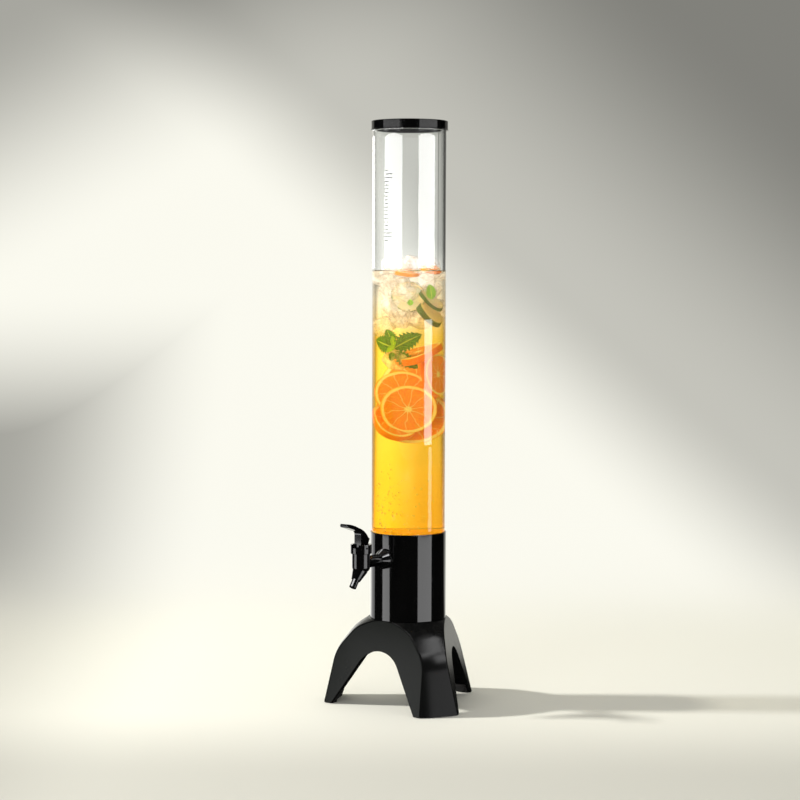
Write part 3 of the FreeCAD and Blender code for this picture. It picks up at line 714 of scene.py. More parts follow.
@dataclass(frozen=True)
class Ice(ClearFinish):
    """Ice with a frosted skin and a cloudy heart."""

    name: str = "cloudy_ice"
    entering: Colour = (0.95, 0.94, 0.92)
    leaving: Colour = (0.95, 0.94, 0.92)
    clear: Colour = (1.0, 1.0, 0.98)
    cloudy: Colour = (0.97, 0.8, 0.6)

    def paint(self, graph: Graph, shader: Node) -> None:
        """Paints clouds that set the ice's tint, gloss and thickness, and fine cracks.

        Args:
            graph: the material's graph.
            shader: its Principled surface.
        """
        here = graph.coordinate()
        crack = graph.spread(graph.cells(here, 70.0, "DISTANCE_TO_EDGE"), 0.04, 0.0)
        cloud = graph.noise(here, 60.0, 5.0, 0.6)
        base = graph.blend(graph.spread(cloud, 0.35, 0.65), self.clear, self.cloudy)
        graph.fill(shader, Base_Color=base, IOR=1.31,
                   Roughness=graph.spread(cloud, 0.42, 0.62, 0.05, 0.3),
                   Alpha=graph.spread(cloud, 0.38, 0.62, 0.85, 0.2))
        graph.bump(shader, graph.plus(cloud, graph.times(crack, 0.6)), 0.8, 0.002)


class Citrus(Enum):
    """Fruits that are sliced into the drink."""

    ORANGE = "orange"
    LIME = "lime"


@dataclass(frozen=True)
class CitrusFlesh(Finish):
    """Face of a citrus slice: segments, membranes, pith and rind, laid out by its own map."""

    flesh: Colour
    deep: Colour
    pith: Colour
    rind: Colour
    segments: int = 10

    def paint(self, graph: Graph, shader: Node) -> None:
        """Paints the slice around the middle of its map, from the star out to the rind.

        Args:
            graph: the material's graph.
            shader: its Principled surface.
        """
        flat = graph.coordinate("UV")
        centred = graph.vector("SUBTRACT", flat, (0.5, 0.5, 0.0))
        across, up, _ = graph.split(centred)
        radius = graph.times(graph.vector("LENGTH", centred, output="Value"), 2.0)
        wobble = graph.noise(flat, 6.0)
        angle = graph.math("ARCTAN2", up, across)
        turned = graph.plus(graph.times(angle, self.segments / 2.0),
                            graph.spread(wobble, 0.3, 0.7, -0.35, 0.35))
        wall = graph.times(graph.plain(graph.math("SINE", turned)), radius)
        membrane = graph.spread(wall, 0.11, 0.035)
        ray = graph.fill(graph.add("CombineXYZ"), X=graph.times(angle, 9.0),
                         Y=graph.times(radius, 3.2))
        drops = graph.cells(ray.outputs[0], 2.2)
        edge = graph.plus(radius, graph.spread(wobble, 0.3, 0.7, -0.012, 0.012))
        star = graph.plus(edge, graph.times(wall, 0.9))
        flesh = graph.blend(graph.spread(drops, 0.1, 0.6), self.flesh, self.deep)
        for mask, colour in ((graph.times(membrane, 0.6), self.pith),
                             (graph.spread(star, 0.26, 0.15), self.pith),
                             (graph.spread(edge, 0.86, 0.89), self.pith),
                             (graph.spread(edge, 0.955, 0.985), self.rind)):
            flesh = graph.blend(mask, flesh, colour)
        graph.fill(shader, Base_Color=flesh, Roughness=graph.spread(drops, 0.1, 0.6, 0.2, 0.4),
                   Subsurface_Weight=0.25, Subsurface_Radius=(0.004, 0.0015, 0.0005),
                   Subsurface_Scale=1.0)
        relief = graph.minus(graph.spread(drops, 0.0, 0.6, 1.0, 0.0), membrane)
        graph.bump(shader, relief, 0.5, 0.0006)


@dataclass(frozen=True)
class CitrusPeel(Finish):
    """Oily peel with pores."""

    light: Colour
    dark: Colour

    def paint(self, graph: Graph, shader: Node) -> None:
        """Paints clouded peel whose pores are smoother and lie deeper.

        Args:
            graph: the material's graph.
            shader: its Principled surface.
        """
        here = graph.coordinate()
        pores = graph.cells(here, 620.0)
        graph.fill(shader, Base_Color=graph.blend(graph.drift(here, 50.0), self.light, self.dark),
                   Roughness=graph.spread(pores, 0.0, 0.6, 0.45, 0.28))
        graph.bump(shader, graph.spread(pores, 0.05, 0.4), 0.6, 0.0004)


@dataclass(frozen=True)
class MintLeaf(Finish):
    """Puckered mint leaf; its map runs along the leaf, with the midrib in the middle."""

    name: str = "mint_leaf"
    blade: Colour = (0.13, 0.55, 0.02)
    # Colour of the painted shade in the creases between the pucker's bumps.
    painted_shade: Colour = (0.02, 0.19, 0.008)
    vein: Colour = (0.5, 0.75, 0.16)
    ribs: float = 9.0
    slant: float = 5.0

    def paint(self, graph: Graph, shader: Node) -> None:
        """Paints the blade with its midrib, its slanting ribs and painted shade in the creases of
        its pucker.

        Args:
            graph: the material's graph.
            shader: its Principled surface.
        """
        spot = graph.coordinate("UV")
        along, across, _ = graph.split(spot)
        off = graph.plain(graph.minus(across, 0.5))
        midrib = graph.spread(off, 0.05, 0.012)
        rows = graph.minus(graph.times(along, self.ribs), graph.times(off, self.slant))
        side = graph.plain(graph.math("SINE", graph.times(rows, math.pi)))
        veins = graph.largest(midrib, graph.times(graph.spread(side, 0.2, 0.04), 0.55))
        pucker = graph.cells(graph.stretched(spot, (16.0, 9.0, 1.0)), 1.6)
        # Painted shade: the blade darkens toward the edges of the pucker cells, where the relief is
        # low.
        blade = graph.blend(graph.spread(pucker, 0.1, 0.7), self.blade, self.painted_shade)
        graph.fill(shader, Base_Color=graph.blend(veins, blade, self.vein), Roughness=0.42,
                   Subsurface_Weight=0.15, Subsurface_Radius=(0.001, 0.002, 0.0005))
        relief = graph.minus(graph.spread(pucker, 0.0, 0.7, 1.0, 0.0), graph.times(veins, 1.2))
        graph.bump(shader, relief, 0.8, 0.0008)


@dataclass(frozen=True)
class PrintInk(Finish):
    """Screen-printed ink of the measuring scale, thin and a little uneven."""

    name: str = "scale_ink"
    colour: Colour = (0.03, 0.03, 0.035)
    thin: Colour = (0.08, 0.08, 0.09)

    def paint(self, graph: Graph, shader: Node) -> None:
        """Paints the ink thinner in fine patches.

        Args:
            graph: the material's graph.
            shader: its Principled surface.
        """
        # In the ink this mask is only its wear, thinner in fine patches.
        wear_and_painted_shade = graph.drift(graph.coordinate(), 900.0, 4.0, 0.35, 0.6)
        graph.fill(shader, Base_Color=graph.blend(wear_and_painted_shade, self.colour, self.thin), Roughness=0.9,
                   Specular_IOR_Level=0.0)


def shown(across: float, toward: float, height: float) -> Vector:
    """A place in the tube as it is seen from the tower's show side.

    Args:
        across: millimetres to the right of the axis.
        toward: millimetres from the axis toward the show side.
        height: millimetres above the table.

    Returns:
        The place in metres.
    """
    right = Vector((math.cos(SHOW_SIDE), math.sin(SHOW_SIDE), 0.0))
    front = Vector((math.sin(SHOW_SIDE), -math.cos(SHOW_SIDE), 0.0))
    return right * mm(across) + front * mm(toward) + Vector((0.0, 0.0, mm(height)))


def facing(turn: float, lean: float, roll: float = 0.0) -> Matrix:
    """The turn that makes a flat piece's +Z look out of the show side.

    Args:
        turn: degrees that it looks to the right of the show side.
        lean: degrees that it looks up.
        roll: degrees that it is rolled about its own normal.

    Returns:
        A 4x4 rotation.
    """
    heading = Matrix.Rotation(SHOW_SIDE + math.radians(turn), 4, "Z")
    upright = Matrix.Rotation(math.radians(90.0 - lean), 4, "X")
    return heading @ upright @ Matrix.Rotation(math.radians(roll), 4, "Z")


def parts(made: dict[str, list], kind: type) -> list:
    """Picks the vertices or the edges out of what a bmesh operator returns."""
    return [part for part in made["geom"] if isinstance(part, kind)]


def make_object(name: str, shape: Shape, material: Material,
                smooth: bool = True) -> bpy.types.Object:
    """Turns a bmesh into an object of the scene.

    Args:
        name: the object's name.
        shape: its shape in metres, in the tower's own frame. It is used up.
        material: its finish.
        smooth: smooth shading.

    Returns:
        The new object.
    """
    mesh = bpy.data.meshes.new(name)
    shape.to_mesh(mesh)
    shape.free()
    mesh.materials.append(material)
    if smooth:
        mesh.shade_smooth()
    made = bpy.data.objects.new(name, mesh)
    bpy.context.scene.collection.objects.link(made)
    return made


def make_piece(name: str, shape: Shape, material: Material,
               smooth: bool = True) -> bpy.types.Object:
    """Turns a bmesh into a piece that rides on the tower, much as make_object does.

    Args:
        name: the piece's name.
        shape: its shape in metres, in the tower's own frame. It is used up.
        material: its finish.
        smooth: smooth shading.

    Returns:
        The new piece.
    """
    bmesh.ops.remove_doubles(shape, verts=shape.verts, dist=SAME_PLACE)
    bmesh.ops.recalc_face_normals(shape, faces=shape.faces)
    piece = make_object(name, shape, material, smooth)
    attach(piece, TOWER)
    log.info("piece %s: %d faces", name, len(piece.data.polygons))
    return piece


def turned_shape(profile: Sequence[tuple[float, float]], steps: int = 96) -> Shape:
    """Spins a closed profile about the Z axis.

    Args:
        profile: radius and height of each corner in millimetres.
        steps: how many sides the round has.

    Returns:
        The turned shape.
    """
    shape = bmesh.new()
    ring = [shape.verts.new(mm(radius, 0.0, height)) for radius, height in profile]
    edges = [shape.edges.new(pair) for pair in zip(ring, ring[1:] + ring[:1])]
    bmesh.ops.spin(shape, geom=ring + edges, cent=(0, 0, 0), axis=(0, 0, 1),
                   angle=math.tau, steps=steps, use_merge=True)
    bmesh.ops.remove_doubles(shape, verts=shape.verts, dist=SAME_PLACE)
    loose = [vert for vert in shape.verts if not vert.link_faces]
    bmesh.ops.delete(shape, geom=loose, context="VERTS")
    return shape


def press_inside(shape: Shape, limit: float = 41.9, start: float = 37.0) -> None:
    """Presses what would reach through the tube's wall softly flat against its inside.

    Args:
        shape: the shape, in metres, in the tower's own frame.
        limit: the reach from the axis that nothing passes, in millimetres.
        start: the reach at which the pressing begins, in millimetres.
    """
    room = mm(limit - start)
    for vert in shape.verts:
        reach = math.hypot(vert.co.x, vert.co.y)
        if reach > mm(start):
            kept = mm(start) + room * (1.0 - math.exp((mm(start) - reach) / room))
            vert.co.x *= kept / reach
            vert.co.y *= kept / reach


@dataclass
class DrinkColumn:
    """The drink that stands in the cup and the tube, with its curved-up rim."""

    radius: float = 42.5
    floor: float = 116.5
    surface: float = 530.5
    rim: float = 1.6
    hold: float = 0.25
    wetting: tuple[tuple[float, float], ...] = ((0.0, 1.0), (0.4, 0.8), (1.2, 0.35),
                                                (2.6, 0.08), (5.0, 0.0))

    def build(self, material: Material) -> None:
        """Spins the column; the rim climbs the wall a little, as a wet edge does.

        Args:
            material: its finish.
        """
        profile = [(0.0, self.floor), (self.radius, self.floor),
                   (self.radius, self.floor + self.hold),
                   (self.radius, self.surface + self.rim - self.hold)]
        profile += [(self.radius - inward, self.surface + self.rim * climb)
                    for inward, climb in self.wetting]
        profile.append((0.0, self.surface))
        make_piece("fruit_drink", turned_shape(profile), material)


@dataclass
class Pulp:
    """Pulp that has settled in the cup, with a soft crown."""

    radius: float = 42.1
    floor: float = 117.0
    top: float = 212.0
    crown: float = 3.0
    hold: float = 0.3
    steps: int = 8

    def build(self, material: Material) -> None:
        """Spins the settled body.

        Args:
            material: its finish.
        """
        profile = [(0.0, self.floor), (self.radius, self.floor),
                   (self.radius, self.floor + self.hold), (self.radius, self.top - self.hold)]
        for step in range(self.steps + 1):
            share = step / self.steps
            profile.append((self.radius * (1.0 - share), self.top + self.crown * share))
        make_piece("fruit_pulp", turned_shape(profile), material)


@dataclass
class Bubbles:
    """Small bubbles that cling to the tube's wall inside the drink."""

    radius: float = 41.0
    depth: float = 3.0
    low: float = 209.0
    high: float = 300.0
    turns: Triple = (-85.0, 60.0, -35.0)
    sizes: tuple[float, float] = (0.5, 1.3)
    count: int = 150
    seed: int = 7

    def build(self, material: Material) -> None:
        """Scatters the bubbles, more of them low down and on the left of the show side.

        Args:
            material: its finish.
        """
        chance = random.Random(self.seed)
        shape = bmesh.new()
        for _ in range(self.count):
            turn = math.radians(chance.triangular(*self.turns)) + SHOW_START
            reach = mm(self.radius - chance.uniform(0.0, self.depth))
            height = chance.triangular(self.low, self.high, self.low)
            spot = Vector((reach * math.cos(turn), reach * math.sin(turn), mm(height)))
            bmesh.ops.create_icosphere(shape, subdivisions=1,
                                       radius=mm(chance.uniform(*self.sizes)),
                                       matrix=Matrix.Translation(spot))
        make_piece("drink_bubbles", shape, material)


@dataclass
class CitrusSlice:
    """A round slice of citrus fruit, its face laid out in its own map."""

    name: str
    centre: Triple
    radius: float
    turn: float = 0.0
    lean: float = 0.0
    roll: float = 0.0
    thickness: float = 5.0
    warp: float = 0.6
    sides: int = 72
    rings: Range = (0.06, 0.1, 0.24, 0.25, 0.2)
    soft_rim: float = 0.9
    flesh_reach: float = 0.9
    hollow: float = 0.12
    ripple: float = 0.1

    def build(self, flesh: Material, peel: Material) -> None:
        """Builds the slice.

        Args:
            flesh: the finish of its two faces.
            peel: the finish of its rim.
        """
        shape = self._disc()
        self._warp(shape)
        self._map(shape)
        shape.transform(Matrix.Translation(shown(*self.centre))
                        @ facing(self.turn, self.lean, self.roll))
        press_inside(shape)
        piece = make_piece(self.name, shape, flesh)
        piece.data.materials.append(peel)
        bevel = piece.modifiers.new("soft_rim", "BEVEL")
        bevel.width = mm(self.soft_rim)
        bevel.segments = 3
        bevel.limit_method = "ANGLE"
        bevel.angle_limit = math.radians(50)

    def _disc(self) -> Shape:
        """Makes a flat disc of rings, as thick as the slice.

        Returns:
            The disc.
        """
        shape = bmesh.new()
        radius = mm(self.radius)
        bmesh.ops.create_circle(shape, cap_ends=True, segments=self.sides, radius=radius)
        middle = shape.faces[:]
        for inset in self.rings:
            bmesh.ops.inset_region(shape, faces=middle, thickness=inset * radius)
        bmesh.ops.poke(shape, faces=middle)
        for face in shape.faces:
            if face.normal.z < 0:
                face.normal_flip()
        extruded = bmesh.ops.extrude_face_region(shape, geom=shape.faces[:])
        bmesh.ops.translate(shape, verts=parts(extruded, bmesh.types.BMVert),
                            vec=mm(0, 0, self.thickness))
        bmesh.ops.translate(shape, verts=shape.verts, vec=mm(0, 0, -self.thickness / 2))
        return shape

    def _warp(self, shape: Shape) -> None:
        """Thins the flesh toward the middle, ripples it and bends the slice.

        Args:
            shape: the disc, which is changed.
        """
        radius = mm(self.radius)
        for vert in shape.verts:
            across, up, _ = vert.co
            reach = math.hypot(across, up) / radius
            wave = noise.noise(Vector((across * RIPPLES, up * RIPPLES, self.radius)))
            if reach < self.flesh_reach:
                vert.co.z *= 1.0 - self.hollow * (1.0 - reach) + self.ripple * wave
            vert.co.z += mm(self.warp) * math.sin(math.atan2(up, across) * 2) * reach ** 2

    def _map(self, shape: Shape) -> None:
        """Lays the faces out around the map's middle and gives the rim its own finish.

        Args:
            shape: the disc, which is changed.
        """
        layer = shape.loops.layers.uv.new("slice_map")
        width = 2 * mm(self.radius)
        for face in shape.faces:
            face.material_index = int(abs(face.normal.z) < 0.5)
            for loop in face.loops:
                place = loop.vert.co
                loop[layer].uv = (0.5 + place.x / width, 0.5 + place.y / width)


@dataclass
class IceCube:
    """A worn ice cube with rounded, uneven sides."""

    name: str
    centre: Triple
    size: float
    turn: Triple
    seed: int
    ball: float = 1.22
    wear_and_painted_shade: float = 0.34
    bumps: float = 1.6
    cuts: int = 7
    variety: float = 3.1

    def build(self, material: Material) -> None:
        """Builds the cube from a subdivided box that is melted at its corners.

        Args:
            material: its finish.
        """
        shape = bmesh.new()
        bmesh.ops.create_cube(shape, size=mm(self.size))
        bmesh.ops.subdivide_edges(shape, edges=shape.edges, cuts=self.cuts, use_grid_fill=True)
        ball = mm(self.size) / 2 * self.ball
        apart = Vector((self.seed * self.variety, 0, 0))
        for vert in shape.verts:
            vert.co = vert.co.lerp(vert.co.normalized() * ball, self.wear_and_painted_shade)
            bump = noise.noise(vert.co * RIPPLES + apart)
            vert.co += vert.co.normalized() * bump * mm(self.bumps)
        for _ in range(2):
            bmesh.ops.smooth_vert(shape, verts=shape.verts, factor=0.5,
                                  use_axis_x=True, use_axis_y=True, use_axis_z=True)
        turn = Matrix.Identity(4)
        for angle, axis in zip(self.turn, "XYZ"):
            turn = Matrix.Rotation(angle, 4, axis) @ turn
        shape.transform(Matrix.Translation(shown(*self.centre)) @ turn)
        press_inside(shape)
        piece = make_piece(self.name, shape, material)
        soft = piece.modifiers.new("soft", "SUBSURF")
        soft.levels = soft.render_levels = 1


@dataclass
class Leaf:
    """One serrated leaf with a folded midrib and a drooping tip."""

    name: str
    root: Triple
    length: float
    width: float
    turn: float
    lean: float
    roll: float
    droop: float = 0.25
    fold: float = 0.3
    teeth: int = 8
    tooth: float = 0.4
    stalk: float = 0.012
    pucker: float = 0.02
    thickness: float = 0.5
    columns: int = 48
    rows: int = 8

    def build(self, material: Material) -> None:
        """Builds the leaf from a grid whose sides are drawn in to the leaf's outline.

        Args:
            material: its finish.
        """
        shape = bmesh.new()
        bmesh.ops.create_grid(shape, x_segments=self.columns, y_segments=self.rows, size=0.5)
        layer = shape.loops.layers.uv.new("leaf_map")
        for face in shape.faces:
            for loop in face.loops:
                loop[layer].uv = (loop.vert.co.x + 0.5, loop.vert.co.y + 0.5)
        for vert in shape.verts:
            vert.co = self._bent(vert.co.x + 0.5, vert.co.y * 2.0)
        bmesh.ops.solidify(shape, geom=shape.faces[:], thickness=mm(self.thickness))
        shape.transform(Matrix.Translation(shown(*self.root))
                        @ facing(self.turn, self.lean, self.roll))
        press_inside(shape)
        make_piece(self.name, shape, material)

    def _bent(self, along: float, side: float) -> Vector:
        """Places one point of the blade.

        Args:
            along: how far it is from the root to the tip, from 0 to 1.
            side: how far it is to the side, from -1 to 1.

        Returns:
            Its place before the leaf is turned.
        """
        length, width = mm(self.length), mm(self.width)
        outline = math.sin(math.pi * along ** 0.8) ** 0.75 if 0 < along < 1 else 0.0
        tooth = 1.0 - self.tooth * ((along * self.teeth) % 1.0) * abs(side) ** 3
        half = width / 2 * (outline * tooth + self.stalk)
        pucker = noise.noise(Vector((along * 9, side * 4, self.turn))) * self.pucker
        rise = abs(side) * half * self.fold - self.droop * length * along ** 2
        return Vector((along * length, side * half, rise + pucker * width))


@dataclass
class MeasuringScale:
    """Printed strokes at the top of the tube, a long pair after every fourteen short ones."""

    radius: float = 45.05
    thickness: float = 0.06
    turn: float = -41.0
    first: float = 567.3
    step: float = 4.425
    count: int = 20
    group: int = 16
    phase: int = 15
    short: float = 5.5
    long: float = 10.5
    stroke: float = 0.85
    pair: int = 2
    bends: int = 6

    def build(self, material: Material) -> None:
        """Builds all the strokes as one thin piece wrapped on the tube.

        Args:
            material: its finish.
        """
        shape = bmesh.new()
        start = SHOW_START + math.radians(self.turn)
        for number in range(self.count):
            width = self.long if (number + self.phase) % self.group < self.pair else self.short
            low = self.first + self.step * number
            angles = [start + width * bend / self.bends / self.radius
                      for bend in range(self.bends + 1)]
            lower, upper = ([shape.verts.new(mm(math.cos(angle) * self.radius,
                                                math.sin(angle) * self.radius, height))
                             for angle in angles] for height in (low, low + self.stroke))
            for corners in zip(lower, lower[1:], upper[1:], upper):
                shape.faces.new(corners)
        bmesh.ops.recalc_face_normals(shape, faces=shape.faces)
        bmesh.ops.solidify(shape, geom=shape.faces[:], thickness=mm(self.thickness))
        make_piece("measuring_scale", shape, material, smooth=False)


@dataclass
class Contents:
    """Everything in the tube: drink, fruit, leaves and ice."""

    seed: int = 11
    ice_sizes: tuple[float, float] = (19, 24)
    ice_reach: float = 41.0
    ice_corner: float = 0.72
    oranges: list[CitrusSlice] = field(default_factory=lambda: [
        CitrusSlice("orange_front", (-0.5, 8, 363), 29.0, 5, 2, 10),
        CitrusSlice("orange_behind", (-6, 0, 382), 27.0, -4, 5, 40),
        CitrusSlice("orange_low", (3, -12, 353), 33.0, 2, -3, 70),
        CitrusSlice("orange_left", (-15, 1, 346), 25.0, 24, 40, 15, thickness=9.0),
        CitrusSlice("orange_right", (28, 9, 405), 26.0, 66, 8, 20, thickness=8.0),
        CitrusSlice("orange_wedge", (11, 13, 430), 27.0, -58, 68, 185, thickness=9.0),
        CitrusSlice("orange_top", (-2, 24, 529), 14.0, 10, 78, 0),
        CitrusSlice("orange_top_back", (26, 18, 533), 12.0, 20, 72, 0),
        CitrusSlice("orange_deep", (8, -14, 398), 30.0, -25, 12, 30),
    ])
    limes: list[CitrusSlice] = field(default_factory=lambda: [
        CitrusSlice("lime_front", (-1, 22, 500), 18.5, 10, 12, 0, thickness=3.0),
        CitrusSlice("lime_right", (25, 19, 495), 18.0, 80, 50, 40),
        CitrusSlice("lime_right_low", (23, 19, 478), 18.0, 74, 44, 20, thickness=8.0),
    ])
    leaves: list[Leaf] = field(default_factory=lambda: [
        Leaf("mint_left", (-18, 30, 439), 26, 25, -14, 4, 160),
        Leaf("mint_top", (-18, 31, 442), 22, 17, -8, 15, 110),
        Leaf("mint_right", (-17, 33, 438), 36, 24, 4, 8, 30),
        Leaf("mint_low", (-16, 30, 433), 33, 18, 0, -4, -38),
        Leaf("mint_stub", (-19, 33.5, 433), 11, 11, -10, 5, 262),
    ])
    young_leaves: list[Leaf] = field(default_factory=lambda: [
        Leaf("mint_young", (-17.5, 34.5, 440), 14, 8, -8, 12, 98),
        Leaf("mint_stem_leaf", (-16.5, 35, 441), 13, 8, -8, 8, 214),
        Leaf("mint_high", (26.5, 30, 497), 19, 17, 34, 6, 92),
        Leaf("mint_bud", (1.5, 36, 489.5), 8, 8, 0, 10, 90),
    ])
    ice_places: tuple[Triple, ...] = (
        (-22, 18, 537), (4, 22, 538), (25, 8, 536), (-6, -8, 532), (-24, -10, 526),
        (18, -18, 530), (-24, 18, 508), (-8, 20, 476), (14, 24, 472), (-22, 22, 486),
        (22, 6, 508), (-4, -14, 508), (-26, 4, 464), (24, -10, 486), (0, -20, 476),
        (-18, 26, 425), (0, 22, 505), (-14, 4, 488), (6, 2, 490), (-10, 28, 512))

    def ice(self) -> list[IceCube]:
        """Places the ice cubes.

        Returns:
            A packed layer near the surface and a few strays, all inside the wall.
        """
        chance = random.Random(self.seed)
        cubes = []
        for number, (across, toward, height) in enumerate(self.ice_places, start=1):
            turn = tuple(chance.uniform(0, math.pi) for _ in range(3))
            size = chance.uniform(*self.ice_sizes)
            room = self.ice_reach - self.ice_corner * size
            inward = min(1.0, room / math.hypot(across, toward))
            cubes.append(IceCube(f"ice_{number:02d}", (across * inward, toward * inward, height),
                                 size, turn, number))
        return cubes

    def build(self) -> None:
        """Builds the contents, each kind in its own finish."""
        DrinkColumn().build(FruitDrink().build())
        Pulp().build(PulpCloud().build())
        Bubbles().build(BubbleSkin().build())
        orange = (CitrusFlesh(f"{Citrus.ORANGE.value}_flesh", (1.0, 0.5, 0.03), (0.96, 0.27, 0.004),
                              (1.0, 0.94, 0.72), (1.0, 0.62, 0.14)),
                  CitrusPeel(f"{Citrus.ORANGE.value}_peel", (1.0, 0.32, 0.01), (0.95, 0.2, 0.005)))
        lime = (CitrusFlesh(f"{Citrus.LIME.value}_flesh", (1.0, 0.95, 0.68), (1.0, 0.88, 0.55),
                            (0.95, 0.82, 0.52), (0.2, 0.3, 0.03), segments=9),
                CitrusPeel(f"{Citrus.LIME.value}_peel", (0.1, 0.22, 0.015), (0.05, 0.11, 0.01)))
        young = MintLeaf("young_mint_leaf", (0.5, 0.95, 0.004), (0.25, 0.7, 0.004),
                         (0.8, 1.0, 0.1))
        for pieces, finishes in ((self.oranges, orange), (self.limes, lime),
                                 (self.leaves, (MintLeaf(),)), (self.young_leaves, (young,)),
                                 (self.ice(), (Ice(),))):
            materials = [finish.build() for finish in finishes]
            for piece in pieces:
                piece.build(*materials)


@dataclass
class Hardware:
    """Finishes of the tower's own solids."""

    gloss: Finish = Moulded("gloss_black", (0.0012, 0.0012, 0.0013), Sheen.MIRROR, coat=0.3,
                            dust=0.12)
    tap: Finish = Moulded("tap_gloss_black", (0.0015, 0.0015, 0.0017), Sheen.POLISHED, coat=0.4,
                          dust=0.1)
    nylon: Finish = Moulded("nylon_black", (0.02, 0.02, 0.021), Sheen.MATT, grain=0.3,
                            grain_scale=1200.0)
    rubber: Finish = Moulded("rubber_black", (0.014, 0.014, 0.014), Sheen.DULL, grain=0.35,
                             grain_scale=800.0, dust=0.3)
    acetal: Finish = Moulded("acetal_white", (0.72, 0.72, 0.69), Sheen.SATIN, grain=0.1)

    def dress(self) -> None:
        """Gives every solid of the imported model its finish."""
        finishes = (
            (self.gloss, ("lower_cup", "lid_cap")),
            (self.tap, ("tap_body", "tap_bonnet", "tap_lever", "spout_nozzle")),
            (self.nylon, ("base_clamp_nut", "tap_lock_nut")),
            (self.rubber, ("foot_pad_right", "foot_pad_back", "foot_pad_left", "base_washer",
                           "tap_outer_washer", "tap_inner_washer", "stem_o_ring")),
            (Silicone(), ("tube_gasket", "lid_seal", "valve_plug")),
            (SpringSteel(), ("lever_pin", "return_spring")),
            (self.acetal, ("valve_stem",)),
            (TripodPlastic(), ("tripod_base",)),
            (ClearAcrylic(), ("clear_tube",)),
        )
        for finish, names in finishes:
            material = finish.build()
            for name in names:
                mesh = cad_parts[name].data
                mesh.materials.clear()
                mesh.materials.append(material)
                log.info("finish %s on %s", material.name, name)


@dataclass(frozen=True)
class Paper(Finish):
    """Pale backdrop paper: darkened by painted shade near its front and on its left, lit in clouds
    on the wall.

    Light falls on it as on paper. Reflections, views through clear pieces and the camera see
    its wall shine instead, each in its own strength, and from behind it isn't there.
    A range is in metres, followed by what its two ends turn into.
    """

    name: str = "studio_sweep"
    body: Colour = (0.93, 0.925, 0.85)
    shine: Colour = (0.97, 0.96, 0.87)
    # These two ranges darken the paper's colour toward its front and its left as painted shade.
    front_painted_shade: Range = (-0.4, -0.05, 0.74, 1.0)
    left_painted_shade: Range = (-0.65, -0.3, 0.6, 1.0)
    wall: Range = (0.5, 1.0)
    wall_for_camera: Range = (0.35, 1.2)
    upper_shade: Range = (0.45, 0.85, 1.0, 0.57)
    right_shade: Range = (0.85, 1.75, 1.0, 0.4)
    left_shade: Range = (1.0, 1.6, 1.0, 0.4)
    left_edge: Range = (-0.8, -0.35, 0.4, 1.0)
    above_floor: Range = (0.0, 0.5)
    behind_drink: Range = (0.56, 0.5)
    beside_drink: Range = (0.8, 1.5, 1.0, 0.3)
    straight_behind: Range = (0.05, 0.5)
    in_mirrors: Range = (0.0, 1.0, 0.02, 0.95)
    dark_flank: Range = (0.3, 0.8, 1.0, 0.1)
    below_fruit: Range = (0.54, 0.46)
    low_light: Range = (0.6, 0.5, 1.0)
    right_light: Range = (-0.25, 0.45, 1.15, 2.1)

    def surface(self, graph: Graph) -> Node:
        """Mixes the plain paper and the shining wall.

        Args:
            graph: the material's graph.

        Returns:
            What the surface shows.
        """
        here = graph.coordinate()
        behind = graph.along(here, (-math.sin(SHOW_SIDE), math.cos(SHOW_SIDE), 0.0))
        right = graph.along(here, (math.cos(SHOW_SIDE), math.sin(SHOW_SIDE), 0.0))
        height = graph.split(here)[2]
        through, camera, mirrored = graph.ray(Ray.THROUGH), graph.ray(Ray.CAMERA), graph.mirrored()
        # Painted shade: the paper's colour darkens toward the front and the left, like a vignette.
        wear_and_painted_shade = graph.times(graph.spread(behind, *self.front_painted_shade),
                           graph.spread(right, *self.left_painted_shade))
        paper = graph.fill(graph.add("BsdfDiffuse"), Color=graph.blend(wear_and_painted_shade, BLACK, self.body))
        wall = graph.times(through, graph.spread(behind, *self.wall))
        strength = graph.plus(graph.times(mirrored, self._behind_tower(graph, behind, right)),
                              graph.largest(graph.times(wall, self._lit(graph, right, height)),
                                            camera))
        tone = graph.blend(self._clouds(graph, right, height, through), BLACK, self.shine)
        glow = graph.fill(graph.add("Emission"), Color=tone, Strength=strength)
        beyond = graph.times(camera, graph.spread(behind, *self.wall_for_camera))
        shown_side = graph.mixed(graph.largest(mirrored, wall, beyond), paper, glow)
        return graph.mixed(graph.times(camera, graph.geometry("Backfacing")), shown_side,
                           graph.add("BsdfTransparent"))

    def _clouds(self, graph: Graph, right: Socket, height: Socket, through: Socket) -> Socket:
        """The wall's light: darker toward its upper corners and the left edge.

        Args:
            graph: the material's graph.
            right: how far to the right of the tower the wall is met, in metres.
            height: how high it is met, in metres.
            through: whether it is seen through something clear.

        Returns:
            The light's share, from 0 to 1.
        """
        rising = graph.plus(graph.times(right, 0.95), graph.times(height, 1.1))
        falling = graph.minus(height, graph.times(right, 0.6))
        edge = graph.largest(graph.spread(right, *self.left_edge),
                             graph.spread(height, *self.above_floor))
        painted_shade = graph.times(graph.spread(rising, *self.upper_shade),
                            graph.spread(rising, *self.right_shade),
                            graph.spread(falling, *self.left_shade), edge)
        low = graph.times(through, graph.spread(height, *self.behind_drink),
                          graph.spread(graph.plain(right), *self.beside_drink))
        return graph.largest(painted_shade, low)

    def _behind_tower(self, graph: Graph, behind: Socket, right: Socket) -> Socket:
        """How bright reflections see the paper: only the part straight behind the tower."""
        straight = graph.minus(behind, graph.times(graph.plain(right), 0.8))
        return graph.spread(graph.spread(straight, *self.straight_behind), *self.in_mirrors)

    def _lit(self, graph: Graph, right: Socket, height: Socket) -> Socket:
        """How bright the wall is through the tube: strongest low down and on its right.

        Args:
            graph: the material's graph.
            right: how far to the right of the tower the wall is met, in metres.
            height: how high it is met, in metres.

        Returns:
            The light's strength.
        """
        flank = graph.largest(graph.spread(right, *self.dark_flank),
                              graph.spread(height, *self.below_fruit))
        bright = graph.spread(right, *self.right_light)
        return graph.times(flank, graph.spread(height, *self.low_light, bright))


